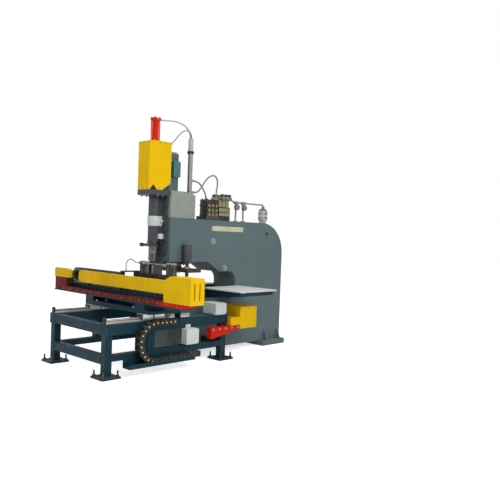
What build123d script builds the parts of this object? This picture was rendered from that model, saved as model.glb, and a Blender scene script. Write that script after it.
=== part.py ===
from build123d import *
import math
import os

# Plate punching and drilling machine, in millimetres.
# X points to the machine's right, Y from the feed table to the back, Z up from the floor.

# Allowances shared by many parts
OVERRUN = 5
RUN_FIT = 0.05
SLIDE_GAP = 0.5
SEAT_GAP = 0.1
SHEET = 4

# Centre lines and the height at which the plate is worked
PASS_LINE = 800
PUNCH_Y = -195
DRILL_Y = -525
FEED_Y = -548

# C-frame
FRAME_WIDTH = 390
NOSE_REACH = 250
FRAME_FRONT = PUNCH_Y - NOSE_REACH
FRAME_LENGTH = 1926
FRAME_HALF = FRAME_WIDTH / 2
FRAME_BACK = FRAME_FRONT + FRAME_LENGTH
FRAME_BOTTOM = 65
FRAME_TOP = 1595
BACK_RADIUS = 390
JAW_TOP = 640
ROOF = 1100
ROOF_REAR = 980
ROOF_FLAT = 580
ROOF_SLOPE = 190
THROAT_DEPTH = 1050
THROAT_RADIUS = 120
FOOT_LENGTH = 430
FOOT_WIDTH = 510
FOOT_OVERHANG = 44
FRONT_FOOT_INSET = 30
GUSSET_RISE = 145
GUSSET_THICKNESS = 25
GUSSET_SPACING = 250
ANCHOR_RADIUS = 14
ANCHOR_SPAN_X = 450
ANCHOR_SPAN_Y = 330
LIFT_HOLE_RADIUS = 25
LIFT_HOLE_Y = 1169
LIFT_HOLE_Z = 1456
TRUNNION_RADIUS = 30
TRUNNION_LENGTH = 26
TRUNNION_COLLAR = 42
TRUNNION_COLLAR_LENGTH = 8
TRUNNION_SEATS = ((199, 1340), (405, 1021))

# Press: cylinder, ram, punch, stripper and die
CYLINDER_RADIUS = 120
CYLINDER_DEPTH = 380
CYLINDER_FLANGE_RADIUS = 165
CYLINDER_FLANGE = 30
RAM_RADIUS = 70
RAM_DROP = 60
RAM_INSIDE = 260
PUNCH_HOLDER_RADIUS = 55
PUNCH_HOLDER_HEIGHT = 46
PUNCH_RADIUS = 20
PUNCH_TIP = 862
STRIPPER_Z = (850, 890)
STRIPPER_HALF = 300
STRIPPER_DEPTH = 150
STRIPPER_SHOULDER = 120
STRIPPER_HOLE = 24
YOKE_HALF = 340
YOKE_REACH = (105, 95)
YOKE_Z = (985, 1025)
YOKE_HOLE = 76
HOLD_STANDOFF = 55
HOLD_X = FRAME_HALF + HOLD_STANDOFF
HOLD_SETBACK = 40
HOLD_Y = PUNCH_Y - HOLD_SETBACK
HOLD_RADIUS = 52
HOLD_Z = (1105, 1300)
HOLD_NECK_RADIUS = 34
HOLD_NECK = 22
HOLD_ROD_RADIUS = 20
HOLD_ROD_TOP = 1240
DIE_HOLDER_HALF = 140
DIE_HOLDER_MARGIN = (60, 140)
DIE_HOLDER_FRONT = DRILL_Y - DIE_HOLDER_MARGIN[0]
DIE_HOLDER_BACK = PUNCH_Y + DIE_HOLDER_MARGIN[1]
DIE_STAND = 14
DIE_HOLDER_TOP = PASS_LINE - DIE_STAND
DIE_HOLDER_NOSE = 720
DIE_RADIUS = 75
DIE_SEAT = 740
DIE_HOLE = 20.6
DRILL_CLEAR = 30

# Drill head
BRACKET_BACK = -92
BRACKET_TOP = 1898
BRACKET_REAR_TOP = 1867
BRACKET_SLOPE = (-225, -165)
BACKPLATE_HALF = 150
BACKPLATE = 20
BACKPLATE_BOTTOM = 1180
GUARD_HALF = 72
GUARD_SHEET = 8
GUARD_REACH = 33
GUARD_Z = (905, 1090)
HOUSING_RADIUS = 68
HOUSING_WEB_HALF = 60
HOUSING_BOTTOM = 1300
HOUSING_TOP = 1838
HOUSING_ROOF = 1780
BAND_Z = (1497, 1607)
BAND_THICKNESS = 8
BAND_PIN_RADIUS = 14
BAND_PIN_LENGTH = 26
QUILL_RADIUS = 52
QUILL_BOTTOM = 1225
QUILL_TOP = 1700
QUILL_BORE_TOP = 1660
FEED_ROD_RADIUS = 18
ROD_HOLE = 20
ARM_COLLAR_RADIUS = 57
ARM_COLLAR_Z = (1262, 1298)
ARM_RADIUS = 15
ARM_REACH = 234
ARM_KNOB_RADIUS = 22
ARM_KNOB_LENGTH = 36
SPINDLE_RADIUS = 34
SPINDLE_TOP = 1650
NOSE_RADIUS = 48
NOSE_Z = (1190, 1222)
CHUCK_RADIUS = 36
CHUCK_SHOULDER = 1135
CHUCK_CONE = 1085
CHUCK_TIP = 1060
CHUCK_TIP_RADIUS = 22
BIT_RADIUS = 12.5
BIT_TOP = 1110
BIT_TIP = 880
BIT_POINT = 8
HEAD_HALF = 171
HEAD_FRONT = -693
HEAD_CHAMFER = 71
COVER_BOTTOM = 1893
COVER_TOP = 2427
GEAR_CASE_TOP = 2050
GEAR_CASE_INSET = 30
NOTCH_HALF = 42
NOTCH_RISE = 58
REAR_CUT_RUN = 115
REAR_CUT_RISE = 80
FEED_FLANGE = 100
FEED_FLANGE_HEIGHT = 20
FEED_RADIUS = 38
FEED_CAP = 80
FEED_CAP_HEIGHT = 30
FEED_LENGTH = 275
FEED_TOP = COVER_TOP + FEED_LENGTH
FEED_ROD_CLEAR = 102
FEED_ROD_TOP = FEED_TOP - FEED_ROD_CLEAR
TIE_RADIUS = 6
TIE_HALF = 33
TIE_NUT = 10
MOTOR_Y = -332
MOTOR_RADIUS = 98
MOTOR_FLANGE_RADIUS = 105
MOTOR_FLANGE = 20
MOTOR_COWL = 2270
MOTOR_TOP = 2340
MOTOR_COWL_STEP = 5
MOTOR_CROWN = 18
TERMINAL_BOX = (36, 90, 170)
TERMINAL_Z = 2145
SENSOR_BOX = (40, 54, 56)
SENSOR_Z = 1382

# Hose mast and hoses; bends are points measured from where the hose leaves its mast or arm
MAST_X = 118
MAST_Y = -122
MAST_RADIUS = 28
MAST_TOP = 2520
MAST_COLLAR_RADIUS = 37
MAST_COLLAR_DROP = (175, 145)
MAST_BORE_DEPTH = 40
MAST_BORE_OFFSETS = (-8, 12)
MAST_PORT_RADIUS = 15
MAST_PORT_REACH = 44
PORT_OFFSET = 12
SUPPLY_PORT_X = MAST_X - PORT_OFFSET
RETURN_PORT_X = MAST_X + PORT_OFFSET
SUPPLY_PORT_Z = 2040
RETURN_PORT_Z = 1905
TALL_BLOCK_TOP = 1840
FEED_PORT_X = 25
FEED_PORT_Z = FEED_TOP - FEED_CAP_HEIGHT / 2
GLAND_RADIUS = 11
GLAND_REACH = 18
GLAND_DROP = 24
LEAD_LAST_RUN = 36
LEAD_TIP = (148, FRAME_FRONT + GLAND_REACH, COVER_TOP - GLAND_DROP + GLAND_REACH)
FEED_HOSE_RADIUS = 8
LEAD_RADIUS = 6
OIL_HOSE_RADIUS = 9
FEED_HOSE_LAST_RUN = 64
FEED_HOSE_BENDS = ((0, 0, 30), (-2, -28, 94), (-10, -84, 140), (-24, -160, 164), (-42, -244, 172))
LEAD_BENDS = ((0, 0, 26), (2, -33, 74), (6, -92, 82), (11, -150, 58), (17, -213, 2))
SUPPLY_BENDS = ((0, 58, 0), (0, 112, -16), (0, 156, -52), (0, 194, -102), (0, 228, -155))
RETURN_BENDS = (
    (0, 54, 0),
    (0, 100, 33),
    (0, 142, 87),
    (0, 182, 143),
    (0, 224, 187),
    (0, 270, 215),
    (0, 318, 229),
    (0, 362, 213),
    (0, 386, 173),
    (0, 390, 121),
    (0, 378, 67),
    (0, 370, 10),
)
BEND_SHARE = 0.45

# Hydraulics on top of the frame
VALVE_PLATE_X = (-30, 150)
VALVE_PLATE_Y = (125, 520)
VALVE_PLATE_TOP = 1640
TALL_BLOCK_X = (30, 150)
TALL_BLOCK_Y = (130, 318)
LOW_BLOCK_Y = (335, 515)
LOW_BLOCK_TOP = 1760
VALVE_COUNT = 3
VALVE_BODY = (92, 50, 130)
COIL_RADIUS = 21
COIL_LENGTH = 58
PIPE_RADIUS = 10
PIPE_X = 100
PIPE_Z = 1834
PIPE_START_Z = 1868
PIPE_LEVEL_RUN = 40
PIPE_BEND = 60
PIPE_DROP_BEND = 20
PIPE_SLOPE_END = 640
POST_RADIUS = 12
POST_FOOT_RADIUS = 26
POST_FOOT = 14
POST_PLACES = (668, 800)
GAUGE_RADIUS = 34
GAUGE_DEPTH = 30
GAUGE_Z = 1775
ACCUMULATOR_Y = 1178
ACCUMULATOR_RADIUS = 60
ACCUMULATOR_TOP = 1790
ACCUMULATOR_DOME = 42
ACCUMULATOR_NECK = 18
ACCUMULATOR_CAP = 22
ACCUMULATOR_FOOT_RADIUS = 46

# Base table
LEG = 80
LEG_X = 485
LEG_FRONT_Y = -1421
LEG_REAR_Y = 110
FOOT_PLATE = 210
FOOT_PLATE_THICKNESS = 20
BEAM_WIDTH = 120
BEAM_Z = (415, 525)
CROSS_Z = (418, 518)
LOW_BAR_Z = (130, 220)
LOW_RAIL_Z = (157, 222)
STRUT_COUNT = 2
TUBE_RADIUS = 8
BOLT_RADIUS = 9
BOLT_TOP = 78
BOLT_NUT_RADIUS = 17
BOLT_NUT = 15
BOLT_INSET = 24
STOP_SIZE = (44, 16, 62)

# Y guide and drive
RAIL_WIDTH = 45
RAIL_HEIGHT = 38
RAIL_Y = (-1444, -395)
RAIL_WAIST = 6
GUIDE_BLOCK = (110, 130, 53)
GUIDE_TOP = 596
GUIDE_Y = (-975, -830)
Y_SCREW_X = 350
Y_SCREW_Z = 470
Y_SCREW_RADIUS = 20
Y_BEARING_Y = ((-1381, -1311), (10, 80))
Y_BEARING_HALF = 42
Y_DRIVE_X = (285, 600)
Y_DRIVE_Y = (300, 580)
Y_SCREW_Y = (-1372, Y_DRIVE_Y[0] + SHEET - SLIDE_GAP)
Y_DRIVE_Z = (340, 593)
Y_TOE_X = (530, 600)
Y_TOE_START = 152
Y_TOE_Z = (391, 482)
Y_BRACKET_OUTER = 600
Y_BRACKET_Y = (-150, 298)
Y_BRACKET_TOP = 390
Y_BRACKET_DEEP = 262
Y_BRACKET_SHALLOW = 345
SERVO_SIDE = 110
SERVO_LENGTH = 190
SERVO_FLANGE = 16
SERVO_FLANGE_SIDE = 120
SERVO_CAP = 44

# Cable chain on the base's right side, and its tray
Y_CHAIN_X = (556, 634)
Y_CHAIN_HEIGHT = 64
Y_CHAIN_RADIUS = 195
Y_CHAIN_BEND_Y = -921
Y_CHAIN_LOW_Z = 120
Y_CHAIN_FIXED_Y = -430
Y_CHAIN_MOVING_Y = -644
Y_CHAIN_PITCH = 58
TRAY_Y = (-1259, -418)
TRAY_OUTER = 648
TRAY_GAP = 1.2
TRAY_LIP = 128
TRAY_BACK = 215
UPPER_BOX_X = (384, 600)
UPPER_BOX_Y = (-88, 67)
UPPER_BOX_Z = (525, 658)
LOWER_BOX_X = (548, 640)
LOWER_BOX_Y = (-534, -376)
LOWER_BOX_Z = (246, 415)
BOX_LID = 14
BOX_LID_MARGIN = 6
BOX_CORNER = 10
BOX_LUG_HALF = 30
BOX_LUG_Z = (415, 450)

# Side support tables
SUPPORT_REACH = 640
SUPPORT_Y = (60, 668)
SUPPORT_THICKNESS = 14
SUPPORT_ARM = 26
SUPPORT_ARM_ROOT = 110
SUPPORT_ARM_TIP = 48
SUPPORT_ARM_INSET = 70
SUPPORT_EDGE = 40
SUPPORT_PAD_THICKNESS = 20
SUPPORT_PAD_MARGIN = 30
SUPPORT_CORNER = 12

# Saddle and cross beam
SADDLE_HALF = 545
SADDLE_Y = (-1035, -775)
SADDLE_DECK = 640
SADDLE_FLANGE_Z = (696, 708)
SADDLE_FLANGE_X = (-1250, 1080)
SADDLE_PEDESTAL = 150
SADDLE_WEB = 16
NUT_HALF = 40
NUT_BOTTOM = 428
NUT_Y = (-860, -790)
CHAIN_ARM_X = (550, 640)
CHAIN_ARM_Z = (600, 632)
CHAIN_ARM_FOOT = 478
CHAIN_ARM_PLATE = 12
BEAM_FRONT = -1029
BEAM_BACK = -850
BASE_X = (-1240, 1100)
BASE_Z = (708, 751)
BASE_POST_X = (-1240, -985)
BASE_POST_TOP = 858
BEAM_X = (-1150, 838)
BEAM_FACE = -925
BEAM_TOP = 925
BEAM_LEDGE = 5
COVER_FOOT = (36, 20)
COVER_FOOT_SHARES = (0.1, 0.5, 0.9)
BEAM_LEDGE_X = (-1010, 130)
COVER_X = (-720, 838)
COVER_Z = (829, 961)
COVER_DEPTH = 40
COVER_END_RADIUS = 55
CAP_X = (-1257, -925)
CAP_Z = (BASE_POST_TOP, 962)
CAP_RADIUS = 18
BOX_X = (838, 1240)
BOX_Z = (751, 1004)
BOX_BACK = -859
BOX_SHOULDER = 44
LOUVRE_WIDTH = 16
LOUVRE_MARGIN = 46
LOUVRE_SHARES = (0.28, 0.66)
X_RAIL_Z = (790, 895)
X_RAIL_WIDTH = 30
X_RAIL_HEIGHT = 24
X_RAIL_X = (-930, 820)
X_SCREW_Y = -828
X_SCREW_Z = 842
X_SCREW_RADIUS = 14
X_SCREW_X = (-925, 835)
X_BEARING_X = ((-920, -870), (775, 815))
X_BEARING_HALF = 26
X_SERVO_SIDE = 100

# Cable chain on the beam
X_CHAIN_Y = (-986, -934)
X_CHAIN_HEIGHT = 46
X_CHAIN_RADIUS = 67
X_CHAIN_BEND_X = -840
X_CHAIN_LOW_Z = 828
X_CHAIN_FIXED_X = 120
X_CHAIN_MOVING_X = 40
X_CHAIN_PITCH = 46
LINK_PLATE_SHARE = 0.16
LINK_BAR_SHARE = 0.34
LINK_BAR_HEIGHT_SHARE = 0.14

# Carriage and clamps
CARRIAGE_X = (30, 690)
CARRIAGE_Y = (-806, -776)
CARRIAGE_Z = (762, 990)
CARRIAGE_BLOCK = (80, 60)
CARRIAGE_BLOCK_X = (90, 630)
CARRIAGE_ARM_X = (44, 116)
CARRIAGE_ARM_Z = (992, 1004)
CARRIAGE_TAB_BOTTOM = 942
CARRIAGE_NUT_X = (300, 380)
CARRIAGE_NUT_HALF = 24
CLAMP_PLACES = (150, 600)
CLAMP_WIDTH = 170
CLAMP_PAIR = 84
CLAMP_TIP = -720
CLAMP_FLOOR = (770, 798)
CLAMP_HOUSING_Z = (866, 985)
CLAMP_CYLINDER_RADIUS = 27
CLAMP_CYLINDER_TOP = 1110
CLAMP_PORT_RADIUS = 10
CLAMP_PORT_REACH = 40
CLAMP_PORT_Z = 1090
JAW_Z = (836, 860)
JAW_ROD_RADIUS = 14
JAW_ROD_TOP = 1060
JAW_TOOTH = 6
JAW_TOOTH_COUNT = 4

CLAMP_AXIS_Y = (CARRIAGE_Y[1] + CLAMP_TIP) / 2

# Hose from the carriage's arm to the first clamp
CLAMP_HOSE_RADIUS = 5
CLAMP_HOSE_FOOT = (100, -955)
CLAMP_HOSE_BENDS = ((0, 0, 66), (1, 10, 104), (3, 40, 126), (5, 75, 122), (7, 103, 102))
CLAMP_HOSE_LAST_RUN = 36

UP = (0, 0, 1)


def block(x, y, z):
    """Box between the limits given along each axis."""
    sizes = [high - low for low, high in (x, y, z)]
    middle = [(low + high) / 2 for low, high in (x, y, z)]
    return Pos(*middle) * Box(*sizes)


def about(middle, size):
    """Limits of a length centred on a value."""
    return (middle - size / 2, middle + size / 2)


def rod(start, end, radius):
    """Round bar from one point to another."""
    axis = Vector(end) - Vector(start)
    bar = Cylinder(radius, axis.length, align=(Align.CENTER, Align.CENTER, Align.MIN))
    return Plane(origin=start, z_dir=axis) * bar


def upright(x, y, z, radius):
    """Vertical round bar between the heights z."""
    return rod((x, y, z[0]), (x, y, z[1]), radius)


def profile(points, x, radii=0):
    """Outline in Y and Z, with rounded corners, extruded between the limits x."""
    outline = FilletPolyline(*points, radius=radii, close=True) if radii else Polyline(*points, close=True)
    face = Plane.YZ * make_face(outline)
    return Pos(x[0], 0, 0) * extrude(face, amount=x[1] - x[0])


def plan(points, z, radii=0):
    """Outline in X and Y, with rounded corners, extruded between the heights z."""
    outline = FilletPolyline(*points, radius=radii, close=True) if radii else Polyline(*points, close=True)
    return Pos(0, 0, z[0]) * extrude(make_face(outline), amount=z[1] - z[0])


def front(points, y, radii=0):
    """Outline in X and Z, with rounded corners, extruded between the limits y."""
    outline = FilletPolyline(*points, radius=radii, close=True) if radii else Polyline(*points, close=True)
    face = Plane.XZ * make_face(outline)
    return Pos(0, y[0], 0) * extrude(face, amount=y[0] - y[1])


def turned(points, x, y):
    """Solid turned about a vertical axis from its half outline of radius and height."""
    half = Plane.XZ * make_face(Polyline(*points, close=True))
    return Pos(x, y, 0) * revolve(half, Axis.Z)


def corners(x, y):
    """Corner points of a rectangle."""
    return [(x[0], y[0]), (x[1], y[0]), (x[1], y[1]), (x[0], y[1])]


def mirrored(part):
    """The part and its mirror image across the machine's middle plane."""
    return Compound(part.solids() + mirror(part, about=Plane.YZ).solids())


def foot(start, end):
    """Foot plate of the C-frame, with gussets on both sides and anchor holes."""
    middle = (start + end) / 2
    solid = block(about(0, FOOT_WIDTH), (start, end), (0, FRAME_BOTTOM))
    gusset = [(FRAME_HALF - OVERRUN, FRAME_BOTTOM), (FOOT_WIDTH / 2 - OVERRUN, FRAME_BOTTOM)]
    gusset.append((FRAME_HALF, FRAME_BOTTOM + GUSSET_RISE))
    gusset.append((FRAME_HALF - OVERRUN, FRAME_BOTTOM + GUSSET_RISE))
    for y in about(middle, GUSSET_SPACING):
        rib = front(gusset, about(y, GUSSET_THICKNESS))
        solid += [rib, mirror(rib, about=Plane.YZ)]
    for x in about(0, ANCHOR_SPAN_X):
        for y in about(middle, ANCHOR_SPAN_Y):
            solid -= upright(x, y, (-OVERRUN, FRAME_BOTTOM + OVERRUN), ANCHOR_RADIUS)
    return solid


def c_frame():
    slope_start = FRAME_FRONT + ROOF_FLAT
    throat_back = FRAME_FRONT + THROAT_DEPTH
    outline = [
        (FRAME_FRONT, FRAME_BOTTOM),
        (FRAME_BACK, FRAME_BOTTOM),
        (FRAME_BACK, FRAME_TOP),
        (FRAME_FRONT, FRAME_TOP),
        (FRAME_FRONT, ROOF),
        (slope_start, ROOF),
        (slope_start + ROOF_SLOPE, ROOF_REAR),
        (throat_back, ROOF_REAR),
        (throat_back, JAW_TOP),
        (FRAME_FRONT, JAW_TOP),
    ]
    radii = [0, 0, BACK_RADIUS, 0, 0, 0, 0, THROAT_RADIUS, THROAT_RADIUS, 0]
    solid = profile(outline, about(0, FRAME_WIDTH), radii)
    solid -= upright(0, PUNCH_Y, (ROOF - OVERRUN, ROOF + CYLINDER_DEPTH), CYLINDER_RADIUS + SEAT_GAP)
    lift_start = (-FRAME_WIDTH, LIFT_HOLE_Y, LIFT_HOLE_Z)
    solid -= rod(lift_start, (FRAME_WIDTH, LIFT_HOLE_Y, LIFT_HOLE_Z), LIFT_HOLE_RADIUS)
    front_foot = FRAME_FRONT + FRONT_FOOT_INSET
    solid += foot(front_foot, front_foot + FOOT_LENGTH)
    rear_foot = FRAME_BACK + FOOT_OVERHANG
    solid += foot(rear_foot - FOOT_LENGTH, rear_foot)
    return solid


def frame_trunnions():
    pins = []
    for y, z in TRUNNION_SEATS:
        seat = (FRAME_HALF, y, z)
        pin = rod(seat, (FRAME_HALF + TRUNNION_COLLAR_LENGTH, y, z), TRUNNION_COLLAR)
        pin += rod(seat, (FRAME_HALF + TRUNNION_LENGTH, y, z), TRUNNION_RADIUS)
        pins.append(pin.solid())
    return mirrored(Compound(pins))


def punch_cylinder():
    flange_z = (ROOF - CYLINDER_FLANGE, ROOF)
    solid = upright(0, PUNCH_Y, flange_z, CYLINDER_FLANGE_RADIUS)
    solid += upright(0, PUNCH_Y, (ROOF - CYLINDER_FLANGE, ROOF + CYLINDER_DEPTH), CYLINDER_RADIUS)
    bore = (flange_z[0] - OVERRUN, ROOF + RAM_INSIDE + SLIDE_GAP)
    return solid - upright(0, PUNCH_Y, bore, RAM_RADIUS + RUN_FIT)


def punch_ram():
    bottom = ROOF - CYLINDER_FLANGE - RAM_DROP
    return upright(0, PUNCH_Y, (bottom, ROOF + RAM_INSIDE), RAM_RADIUS)


def punch():
    top = ROOF - CYLINDER_FLANGE - RAM_DROP
    shoulder = top - PUNCH_HOLDER_HEIGHT
    solid = upright(0, PUNCH_Y, (shoulder, top), PUNCH_HOLDER_RADIUS)
    return solid + upright(0, PUNCH_Y, (PUNCH_TIP, top), PUNCH_RADIUS)


def stripper_plate():
    y = about(PUNCH_Y, STRIPPER_DEPTH)
    tip = about(HOLD_Y, HOLD_RADIUS + HOLD_NECK_RADIUS)
    outline = [
        (-STRIPPER_HALF, tip[0]),
        (-STRIPPER_SHOULDER, y[0]),
        (STRIPPER_SHOULDER, y[0]),
        (STRIPPER_HALF, tip[0]),
        (STRIPPER_HALF, tip[1]),
        (STRIPPER_SHOULDER, y[1]),
        (-STRIPPER_SHOULDER, y[1]),
        (-STRIPPER_HALF, tip[1]),
    ]
    solid = plan(outline, STRIPPER_Z)
    solid -= upright(0, PUNCH_Y, (STRIPPER_Z[0] - OVERRUN, STRIPPER_Z[1] + OVERRUN), STRIPPER_HOLE)
    yoke = block((-YOKE_HALF, YOKE_HALF), (PUNCH_Y - YOKE_REACH[0], PUNCH_Y + YOKE_REACH[1]), YOKE_Z)
    solid += yoke - upright(0, PUNCH_Y, (YOKE_Z[0] - OVERRUN, YOKE_Z[1] + OVERRUN), YOKE_HOLE)
    for x in (-HOLD_X, HOLD_X):
        solid += upright(x, HOLD_Y, (STRIPPER_Z[0], HOLD_ROD_TOP), HOLD_ROD_RADIUS)
    return solid


def hold_down_cylinders():
    solid = upright(HOLD_X, HOLD_Y, HOLD_Z, HOLD_RADIUS)
    solid += block((FRAME_HALF, HOLD_X), about(HOLD_Y, HOLD_RADIUS), HOLD_Z)
    solid += upright(HOLD_X, HOLD_Y, (HOLD_Z[0] - HOLD_NECK, HOLD_Z[0]), HOLD_NECK_RADIUS)
    bore = (HOLD_Z[0] - HOLD_NECK - OVERRUN, HOLD_ROD_TOP + SLIDE_GAP)
    solid -= upright(HOLD_X, HOLD_Y, bore, HOLD_ROD_RADIUS + RUN_FIT)
    return mirrored(solid)


def die_holder():
    outline = [
        (DIE_HOLDER_FRONT, DIE_HOLDER_TOP),
        (DIE_HOLDER_FRONT, DIE_HOLDER_NOSE),
        (FRAME_FRONT, JAW_TOP),
        (DIE_HOLDER_BACK, JAW_TOP),
        (DIE_HOLDER_BACK, DIE_HOLDER_TOP),
    ]
    solid = profile(outline, (-DIE_HOLDER_HALF, DIE_HOLDER_HALF))
    solid -= upright(0, PUNCH_Y, (DIE_SEAT, DIE_HOLDER_TOP + OVERRUN), DIE_RADIUS + SEAT_GAP)
    solid -= upright(0, PUNCH_Y, (JAW_TOP - OVERRUN, DIE_HOLDER_TOP), DRILL_CLEAR)
    return solid - upright(0, DRILL_Y, (JAW_TOP - OVERRUN, DIE_HOLDER_TOP + OVERRUN), DRILL_CLEAR)


def die():
    solid = upright(0, PUNCH_Y, (DIE_SEAT, PASS_LINE), DIE_RADIUS)
    return solid - upright(0, PUNCH_Y, (DIE_SEAT - OVERRUN, PASS_LINE + OVERRUN), DIE_HOLE)


def drill_bracket():
    outline = [
        (FRAME_FRONT, FRAME_TOP),
        (FRAME_FRONT, BRACKET_TOP),
        (BRACKET_SLOPE[0], BRACKET_TOP),
        (BRACKET_SLOPE[1], BRACKET_REAR_TOP),
        (BRACKET_BACK, BRACKET_REAR_TOP),
        (BRACKET_BACK, FRAME_TOP),
    ]
    return profile(outline, (-FRAME_HALF, FRAME_HALF))


def housing_plan(grow, z):
    """Plan of the spindle housing: a round nose on a straight web."""
    radius = HOUSING_RADIUS + grow
    web_back = FRAME_FRONT - BACKPLATE
    nose = upright(0, DRILL_Y, z, radius) - block((-radius, radius), (web_back, web_back + radius), z)
    return nose + block((-HOUSING_WEB_HALF - grow, HOUSING_WEB_HALF + grow), (DRILL_Y, web_back), z)


def spindle_housing():
    plate_y = (FRAME_FRONT - BACKPLATE, FRAME_FRONT)
    solid = housing_plan(0, (HOUSING_BOTTOM, HOUSING_TOP))
    solid += block((-BACKPLATE_HALF, BACKPLATE_HALF), plate_y, (BACKPLATE_BOTTOM, HOUSING_TOP))
    solid += block((-GUARD_HALF, GUARD_HALF), plate_y, (GUARD_Z[0], BACKPLATE_BOTTOM + OVERRUN))
    for x in ((-GUARD_HALF, GUARD_SHEET - GUARD_HALF), (GUARD_HALF - GUARD_SHEET, GUARD_HALF)):
        solid += block(x, (DRILL_Y - GUARD_REACH, FRAME_FRONT), GUARD_Z)
    solid -= upright(0, DRILL_Y, (HOUSING_BOTTOM - OVERRUN, HOUSING_ROOF), QUILL_RADIUS + RUN_FIT)
    return solid - upright(0, FEED_Y, (HOUSING_ROOF - OVERRUN, HOUSING_TOP + OVERRUN), ROD_HOLE)


def housing_band():
    hollow = (BAND_Z[0] - OVERRUN, BAND_Z[1] + OVERRUN)
    solid = housing_plan(BAND_THICKNESS, BAND_Z) - housing_plan(SEAT_GAP, hollow)
    face = HOUSING_WEB_HALF + BAND_THICKNESS
    seat = ((DRILL_Y + FRAME_FRONT) / 2, sum(BAND_Z) / 2)
    return solid + rod((face, *seat), (face + BAND_PIN_LENGTH, *seat), BAND_PIN_RADIUS)


def quill():
    solid = upright(0, DRILL_Y, (QUILL_BOTTOM, QUILL_TOP), QUILL_RADIUS)
    solid += upright(0, FEED_Y, (QUILL_TOP - OVERRUN, FEED_ROD_TOP), FEED_ROD_RADIUS)
    return solid - upright(0, DRILL_Y, (QUILL_BOTTOM - OVERRUN, QUILL_BORE_TOP), SPINDLE_RADIUS + RUN_FIT)


def quill_arm():
    height = sum(ARM_COLLAR_Z) / 2
    solid = upright(0, DRILL_Y, ARM_COLLAR_Z, ARM_COLLAR_RADIUS)
    hole = (ARM_COLLAR_Z[0] - OVERRUN, ARM_COLLAR_Z[1] + OVERRUN)
    tip = (-ARM_REACH, DRILL_Y, height)
    solid += rod((-QUILL_RADIUS - OVERRUN, DRILL_Y, height), tip, ARM_RADIUS)
    solid += rod((ARM_KNOB_LENGTH - ARM_REACH, DRILL_Y, height), tip, ARM_KNOB_RADIUS)
    return solid - upright(0, DRILL_Y, hole, QUILL_RADIUS + SEAT_GAP)


def spindle():
    outline = [
        (0, SPINDLE_TOP),
        (SPINDLE_RADIUS, SPINDLE_TOP),
        (SPINDLE_RADIUS, NOSE_Z[1]),
        (NOSE_RADIUS, NOSE_Z[1]),
        (NOSE_RADIUS, NOSE_Z[0]),
        (CHUCK_RADIUS, CHUCK_SHOULDER),
        (CHUCK_RADIUS, CHUCK_CONE),
        (CHUCK_TIP_RADIUS, CHUCK_TIP),
        (BIT_RADIUS, CHUCK_TIP),
        (BIT_RADIUS, BIT_TOP),
        (0, BIT_TOP),
    ]
    return turned(outline, 0, DRILL_Y)


def drill_bit():
    outline = [(0, BIT_TOP), (BIT_RADIUS, BIT_TOP), (BIT_RADIUS, BIT_TIP + BIT_POINT), (0, BIT_TIP)]
    return turned(outline, 0, DRILL_Y)


def sensor_box():
    x = (HOUSING_WEB_HALF, HOUSING_WEB_HALF + SENSOR_BOX[0])
    solid = block(x, (DRILL_Y, DRILL_Y + SENSOR_BOX[1]), about(SENSOR_Z, SENSOR_BOX[2]))
    return solid - housing_plan(SEAT_GAP, about(SENSOR_Z, FRAME_WIDTH))


def head_plan(inset, z):
    """Plan of the head: a rectangle with both front corners cut off."""
    half = HEAD_HALF - inset
    nose = half - HEAD_CHAMFER + inset * (math.sqrt(2) - 1)
    start = HEAD_FRONT + inset
    shoulder = start + half - nose
    back = FRAME_FRONT - inset
    right = [(nose, start), (half, shoulder), (half, back)]
    left = [(-x, y) for x, y in reversed(right)]
    return plan([left[-1], *right, *left[:-1]], z)


def gear_housing():
    solid = head_plan(0, (HOUSING_TOP, COVER_BOTTOM))
    solid += head_plan(GEAR_CASE_INSET, (COVER_BOTTOM - OVERRUN, GEAR_CASE_TOP))
    return solid - upright(0, FEED_Y, (HOUSING_TOP - OVERRUN, GEAR_CASE_TOP + OVERRUN), ROD_HOLE)


def head_cover():
    solid = head_plan(0, (COVER_BOTTOM, COVER_TOP))
    solid -= head_plan(SHEET, (COVER_BOTTOM - OVERRUN, COVER_TOP - SHEET))
    solid -= upright(0, FEED_Y, (COVER_TOP - SHEET - OVERRUN, COVER_TOP + OVERRUN), ROD_HOLE)
    cut = [
        (FRAME_FRONT - REAR_CUT_RUN, COVER_BOTTOM),
        (FRAME_FRONT, COVER_BOTTOM + REAR_CUT_RISE),
        (FRAME_FRONT + OVERRUN, COVER_BOTTOM + REAR_CUT_RISE),
        (FRAME_FRONT + OVERRUN, COVER_BOTTOM - OVERRUN),
        (FRAME_FRONT - REAR_CUT_RUN, COVER_BOTTOM - OVERRUN),
    ]
    solid -= profile(cut, about(0, FRAME_WIDTH))
    middle = (HEAD_HALF - HEAD_CHAMFER / 2, HEAD_FRONT + HEAD_CHAMFER / 2)
    notch = [(-NOTCH_HALF, COVER_BOTTOM - OVERRUN), (NOTCH_HALF, COVER_BOTTOM - OVERRUN)]
    notch.append((0, COVER_BOTTOM + NOTCH_RISE))
    across = Plane(origin=(*middle, 0), x_dir=(1, 1, 0), z_dir=(1, -1, 0))
    wedge = extrude(across * make_face(Polyline(*notch, close=True)), amount=SHEET + OVERRUN, both=True)
    solid -= [wedge, mirror(wedge, about=Plane.YZ)]
    root = [LEAD_TIP[0], LEAD_TIP[1] - GLAND_REACH - GLAND_RADIUS, LEAD_TIP[2] - GLAND_REACH - GLAND_RADIUS]
    return solid + rod(root, LEAD_TIP, GLAND_RADIUS)


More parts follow.
